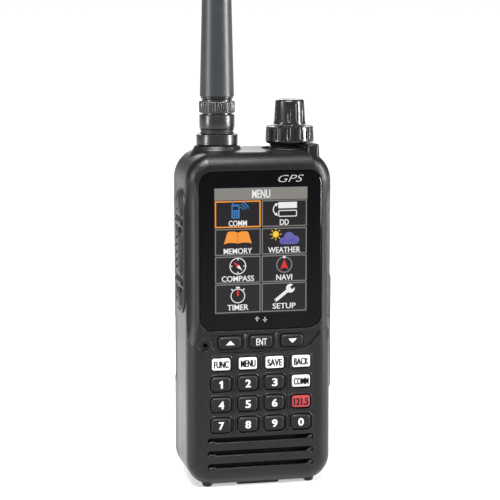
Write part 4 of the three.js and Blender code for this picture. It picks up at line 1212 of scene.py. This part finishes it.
def cover_screw(name, seat):
    """A domed head with a cross recess."""
    low, high = span(name)
    at = middle(name)
    r = (high.z - low.z) / 2
    profile = [(0, low.x), (0.95, low.x), (0.95, seat - 0.25), (r, seat - 0.25), (r, seat + 0.25)]
    profile += [(r * 0.94, seat + 0.5), (r * 0.75, seat + 0.75), (r * 0.45, high.x - 0.06), (0, high.x)]
    bm = on("right", turned(profile, 32), 0, at.y, at.z)
    for y, z in ((1.15, 0.22), (0.22, 1.15)):
        recess = block((high.x - 0.75, at.y - y, at.z - z), (high.x + 1, at.y + y, at.z + z))
        bm = carved(bm, recess)
    finished(f"{name}_head", bm, SCREW, "case", [name], 30)


# ------------------------------------------------------------------ knobs


def fluted(profile, depth, reach, at, low, high):
    """A turned knob with twelve rounded upright flutes."""
    groove = [(0, low), (reach * 0.8, low + 0.15), (reach, low + reach), (reach, high), (0, high)]
    out = max(r for r, height in profile if height <= low + 3) + reach - depth
    cutters = []
    for n in range(12):
        turn = math.tau * (n + 0.5) / 12
        cutters.append(moved(turned(groove, 20), out * math.cos(turn), out * math.sin(turn)))
    return moved(carved(turned(profile, 96), merged(*cutters)), at.x, at.y)


def rim_of(node, past=0.0):
    """A round node's radius and the heights of its ends."""
    low, high = span(node)
    return (high.y - low.y) / 2, low.z - past, high.z + past


def bored(bore, low, high, points, at, steps):
    """A turned ring with a plain bore."""
    return moved(turned([(bore, low), *points, (bore, high), (bore, low)], steps), at.x, at.y)


def knobs():
    at = middle("dial_ring_knob")
    r, z0, z1 = rim_of("dial_ring_knob")
    profile = [(3.3, z0), *rim(r, z0, (-0.9, 0), (-0.45, 0.2), (0, 0.9), (0, 1.3))]
    profile += rim(r, z1, (-0.3, -0.55), (-0.42, -0.25), (-0.75, -0.06), (-1.2, 0))
    dial = fluted([*profile, (3.3, z1), (3.3, z0)], 0.6, 1.05, at, z0 + 1.6, z1 + 2)
    slits = []
    for n in range(12):
        slit = tower(0.75, 3.4, 0.36, [(r - 0.55, 0), (r - 0.1, 0), (r + 1, 0.3)], 4)
        place = Matrix.Rotation(math.tau * n / 12, 4, "Z") @ facing("right", 0, 0, (z0 + z1) / 2 + 0.2)
        slits.append(placed(slit, Matrix.Translation((at.x, at.y, 0)) @ place))
    dial = carved(dial, merged(*slits))
    finished("dial_knob", dial, KNOB, "dial_control", ["dial_ring_knob"], 35)

    r, z0, z1 = rim_of("volume_knob")
    profile = [(1.8, z0), *rim(r, z0, (-0.15, 0), (0, 0.2), (-0.02, 0.7), (-0.25, 1.1))]
    profile += rim(r, z1, (-0.72, -0.9), (-0.85, -0.5), (-1.25, -0.12), (-1.75, 0))
    profile += [(0, z1), (0, z1 - 2), (1.8, z1 - 2), (1.8, z0)]
    cap = fluted(profile, 0.75, 0.8, at, z0 + 1.0, z1 + 2)
    finished("volume_cap", cap, KNOB, "volume_control", ["volume_knob"], 35)
    pointer = block((at.x - 0.22, at.y - r + 2.0, z1 - 0.02), (at.x + 0.22, at.y - 1.2, z1 + 0.03))
    finished("volume_mark", pointer, WHITE_INK, "volume_control", ())

    r, z0, z1 = rim_of("knob_seat")
    points = rim(r, z0, (-0.3, 0), (0, 0.3), (-0.2, 0.9), (-0.9, 1.1), (-0.9, 1.4))
    points += rim(r, z1, (-0.4, -0.4), (-0.7, 0))
    seat = bored(4.8, z0, z1, points, at, 64)
    finished("knob_washer", seat, PAD, "case", ["knob_seat"], 30)


# ------------------------------------------------------------------ antenna


def antenna():
    at = middle("antenna_collar")
    r, z0, z1 = rim_of("antenna_collar")
    points = rim(r, z0, (-0.25, 0), (0, 0.2)) + rim(r, z1, (0, -0.35), (-0.1, -0.1), (-0.4, 0))
    collar = bored(STUD_HOLE_R, z0, z1, points, at, 72)
    finished("antenna_ring", collar, FERRULE, "case", ["antenna_collar"], 30)

    r, z0, z1 = rim_of("antenna_seal", 0.22)
    points = rim(r, z0, (-0.2, 0), (0, 0.2), (0, 0.55), (-0.25, 0.7))
    points += rim(r, z1, (-0.25, -0.6), (0, -0.45), (0, -0.15), (-0.2, 0))
    seal = bored(STUD_HOLE_R, z0, z1, points, at, 72)
    finished("antenna_washer_ring", seal, PAD, "antenna_washer", ["antenna_seal"], 30)

    r, z0, z1 = rim_of("antenna_base")
    knurl_low, knurl_high = 6.05, 10.55
    points = rim(r - 0.1, z0, (-0.4, 0), (-0.08, 0.12), (0, 0.4), (0, 5.0), (-0.1, 5.25), (-0.4, 5.4))
    points += rim(r - 0.1, z0, (-1.1, 5.45), (-1.1, 6.0), (-0.4, knurl_low), (-0.4, knurl_high))
    points += rim(r - 0.1, z0, (-1.0, 10.6), (-1.0, 11.3), (-0.7, 11.6), (-0.5, 11.9))
    points += [*rim(r - 0.1, z1, (-0.5, 0.22)), (2.7, z1 + 0.22), (2.7, z1 - 8)]
    base = moved(turned([(3.4, z0), *points, (3.4, z1 - 8), (3.4, z0)], 72), at.x, at.y)
    finished("antenna_ferrule", base, FERRULE, "antenna", ["antenna_base"], 28)
    knurl = moved(knurled_ring(r, z0 + knurl_low, z0 + knurl_high), at.x, at.y)
    finished("antenna_knurl", knurl, FERRULE, "antenna", (), 40)

    r, z0, z1 = rim_of("antenna_sheath")
    tip, core = 3.2, 2.7
    profile = [(core, z0), (r - 0.3, z0), (r, z0 + 0.25)]
    shares = [n / 11 for n in range(1, 12)]
    profile += [(r + (tip - r) * share, z0 + (z1 - tip - z0) * share) for share in shares]
    profile += [(tip * math.cos(a), z1 - tip + tip * math.sin(a)) for a in quarter(8)[1:-1]]
    profile += [(0, z1), (0, z1 - 8.5), (core, z1 - 8.5), (core, z0)]
    sheath = moved(turned(profile, 64), at.x, at.y)
    finished("antenna_whip", sheath, SHEATH, "antenna", ["antenna_sheath"], 30)


def knurled_ring(radius, low, high, ridges=44):
    """A band of upright ridges with chamfered ends."""
    bm = bmesh.new()
    made = bmesh.ops.create_circle(bm, cap_ends=False, radius=1, segments=ridges * 4)["verts"]
    levels = [(low, 0.35), (low + 0.35, 0.0), (high - 0.35, 0.0), (high, 0.35)]
    heights = [0.0, 0.0, 0.32, 0.32]
    edges = bm.edges[:]
    rows = [made]
    for _ in levels[1:]:
        grown = bmesh.ops.extrude_edge_only(bm, edges=edges)["geom"]
        edges = [g for g in grown if isinstance(g, bmesh.types.BMEdge)]
        rows.append([g for g in grown if isinstance(g, bmesh.types.BMVert)])
    for row, (z, taper) in zip(rows, levels):
        for vert in row:
            step = round(math.atan2(vert.co.y, vert.co.x) / math.tau * ridges * 4) % 4
            reach = radius - max(taper, heights[step])
            flat = Vector((vert.co.x, vert.co.y)).normalized() * reach
            vert.co = (flat.x, flat.y, z)
    for row in (rows[0], rows[-1]):
        bmesh.ops.contextual_create(bm, geom=row)
    return outward(bm)


# ------------------------------------------------------------------ battery and back


def battery():
    bm = case_slice(PACK_LOW.y, BACK)
    bm = carved(bm, block((-40, -10, PACK_TOP), (40, 40, 160)))
    bm = carved(bm, block((-23, 0, 7), (23, BACK - 1.5, 107.5)))
    bm = carved(bm, on("right", plate(hinge_corner(), -HALF_W - 2, HALF_W + 2)))
    out = PACK_HIGH.y
    levels = [(BACK - 1, 0), (out - 0.3, 0), *rounded_top(out, 0.3, 3)[1:]]
    bm = carved(bm, on("back", tower(20, 28, 2, levels, 6), 0, 0, BELT_PAD_Z), "UNION")
    foot = [(0, 0), (1.35, 0), (1.6, 0.12), (1.75, 0.4), (1.9, 4.4), (0, 4.4)]
    feet = [moved(turned(foot, 28), side * 16.4, 13) for side in (-1, 1)]
    bm = carved(bm, merged(*feet), "UNION")
    cuts = []
    for n in range(7):
        levels = [(BACK - 0.55, -0.15), (BACK + 1.2, 0.6)]
        cuts.append(on("back", tower(34, 1.3, 0.6, levels, 5), 0, 0, 16 + n * 4.2))
    for n in (-1, 1):
        hole = [(0, BACK - 1), (1.1, BACK - 1), (1.1, out - 0.2), (1.4, out + 0.05), (1.4, BACK + 2)]
        hole += [(0, BACK + 2)]
        cuts.append(on("back", turned(hole, 24), 0, 0, BELT_PAD_Z + n * 9))
        finger = tower(5.5, 26, 2, [(HALF_W - 0.7, -0.3), (HALF_W + 1, 0.6)], 6)
        cuts.append(on("left" if n < 0 else "right", finger, 0, 11.4, 52))
    bm = carved(bm, merged(*cuts))
    low, high = span("battery_latch")
    travel = 2.5
    room = (high.x + travel + 0.3, high.y + 0.3, high.z + 0.3)
    bm = carved(bm, block((low.x - 0.3, low.y - 0.3, -2), room))
    finished("battery_shell", bm, CASE_REAR, "battery", ["battery_case"], 32, True)

    parts = [block((low.x, low.y, low.z + 0.4), high, 0.25)]
    for n in range(5):
        x = low.x + 2 + n * 2
        ridge = ((x - 0.45, low.y + 0.4, low.z), (x + 0.45, high.y - 0.4, low.z + 0.8))
        parts.append(block(*ridge, 0.2, 2))
    finished("latch_slide", merged(*parts), CASE_REAR, "latch", ["battery_latch"], 35)


def hinge_corner():
    """What rounding the pack's top rear edge takes away."""
    r = 1.3
    y, z = BACK - r, PACK_TOP - r
    arc = [(y + r * math.sin(a), z + r * math.cos(a)) for a in quarter(8)]
    return [(y, PACK_TOP + 2), *arc, (BACK + 2, z), (BACK + 2, PACK_TOP + 2)]


# ------------------------------------------------------------------ inner pieces


def inner_finishes():
    """Finishes for the frame's own pieces that stay as they are."""
    board = printed("circuit_board", (0.02, 0.12, 0.05), 0.4)
    cells = smooth_plastic("cell_wrap", 0.09, 0.35, 0.5)
    chosen = {
        "lcd_module": DARK,
        "keypad_mat": PAD,
        "main_board": board,
        "side_switch_board": board,
        "rf_shield": STEEL,
        "speaker": DARK,
        "microphone": STEEL,
        "headset_jack": DARK,
        "usb_socket": STEEL,
        "encoder_body": STEEL,
        "outer_shaft": STEEL,
        "inner_shaft": STEEL,
        "antenna_socket": BRASS,
        "antenna_core": BRASS,
        "contact_block": BRASS,
        "case_screw_left": SCREW,
        "case_screw_right": SCREW,
        "battery_lid": CASE_REAR,
        "cell_lower": cells,
        "cell_upper": cells,
    }
    for node, material in chosen.items():
        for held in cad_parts[node].material_slots:
            held.material = material


# ------------------------------------------------------------------ studio


def studio():
    floor = bmesh.new()
    bmesh.ops.create_grid(floor, x_segments=1, y_segments=1, size=80)
    mesh = bpy.data.meshes.new("floor")
    floor.to_mesh(mesh)
    floor.free()
    paper = Finish("floor_paper_painted_glow")
    fibres = paper.noise(40, 2, 0.5)
    paper.set(Base_Color=paper.blend(fibres, (0.49, 0.49, 0.49, 1), (0.51, 0.51, 0.51, 1)))
    # The floor glows though it is no lamp: painted light, its emission dim at the front edge and full
    # brightness further back.
    paper.set(Roughness=0.95, Specular_IOR_Level=0.0, Emission_Strength=1.0)
    depth = paper.node("ShaderNodeSeparateXYZ", {}, paper.place, out=1)
    paper.set(Emission_Color=paper.ramp(depth * 0.5 + 0.5, (0.45, 0.12), (0.56, 1.0)))
    mesh.materials.append(paper.material)
    stage = bpy.data.objects.new("floor", mesh)
    bpy.context.scene.collection.objects.link(stage)

    world = bpy.context.scene.world or bpy.data.worlds.new("studio")
    bpy.context.scene.world = world
    world.use_nodes = True
    sky = Finish.over(world.node_tree, "Background", "Generated")
    height = sky.node("ShaderNodeSeparateXYZ", {}, sky.place, out=2)
    sky.set(Color=sky.ramp(height, (0.015, 1.0), (0.07, 0.3), (0.8, 0.15)), Strength=1.0)

    bpy.context.scene.view_settings.view_transform = "Standard"
    softbox("top_light", (-0.12, -0.3, 0.66), (0, 0, 0.1), (0.4, 0.09), 13)
    softbox("left_light", (-0.74, -0.2, 0.26), (0, 0, 0.08), (0.07, 0.5), 6)
    softbox("right_light", (0.66, -0.3, 0.26), (0, 0, 0.08), (0.05, 0.5), 12)
    softbox("rear_light", (0.1, 0.7, 0.5), (0, 0, 0.1), (0.5, 0.3), 3)


def softbox(name, at, towards, size, power):
    lamp = bpy.data.lights.new(name, "AREA")
    lamp.shape = "RECTANGLE"
    lamp.size, lamp.size_y = size
    lamp.energy = power
    holder = bpy.data.objects.new(name, lamp)
    holder.location = at
    holder.rotation_euler = (Vector(towards) - Vector(at)).to_track_quat("-Z", "Y").to_euler()
    bpy.context.scene.collection.objects.link(holder)


LENS_REACH = 3.45072  # focal length over sensor width


def camera():
    lens = bpy.data.cameras.new("camera")
    lens.sensor_width = 36
    lens.lens = LENS_REACH * lens.sensor_width
    holder = bpy.data.objects.new("camera", lens)
    holder.location = (-0.1471, -0.6609, 0.1873)
    pitch, heading = -8.04, -12.5
    holder.rotation_euler = (math.radians(90 + pitch), 0, math.radians(heading))
    bpy.context.scene.collection.objects.link(holder)
    bpy.context.scene.camera = holder


camera()
studio()
front_shell()
rear_frame()
key_caps()
key_ribs()
trough_lip()
mic_ring()
slot_lips()
display()
screen_picture()
panel_print()
side_pad()
side_keys()
headset_cover()
data_flap()
knobs()
antenna()
battery()
inner_finishes()
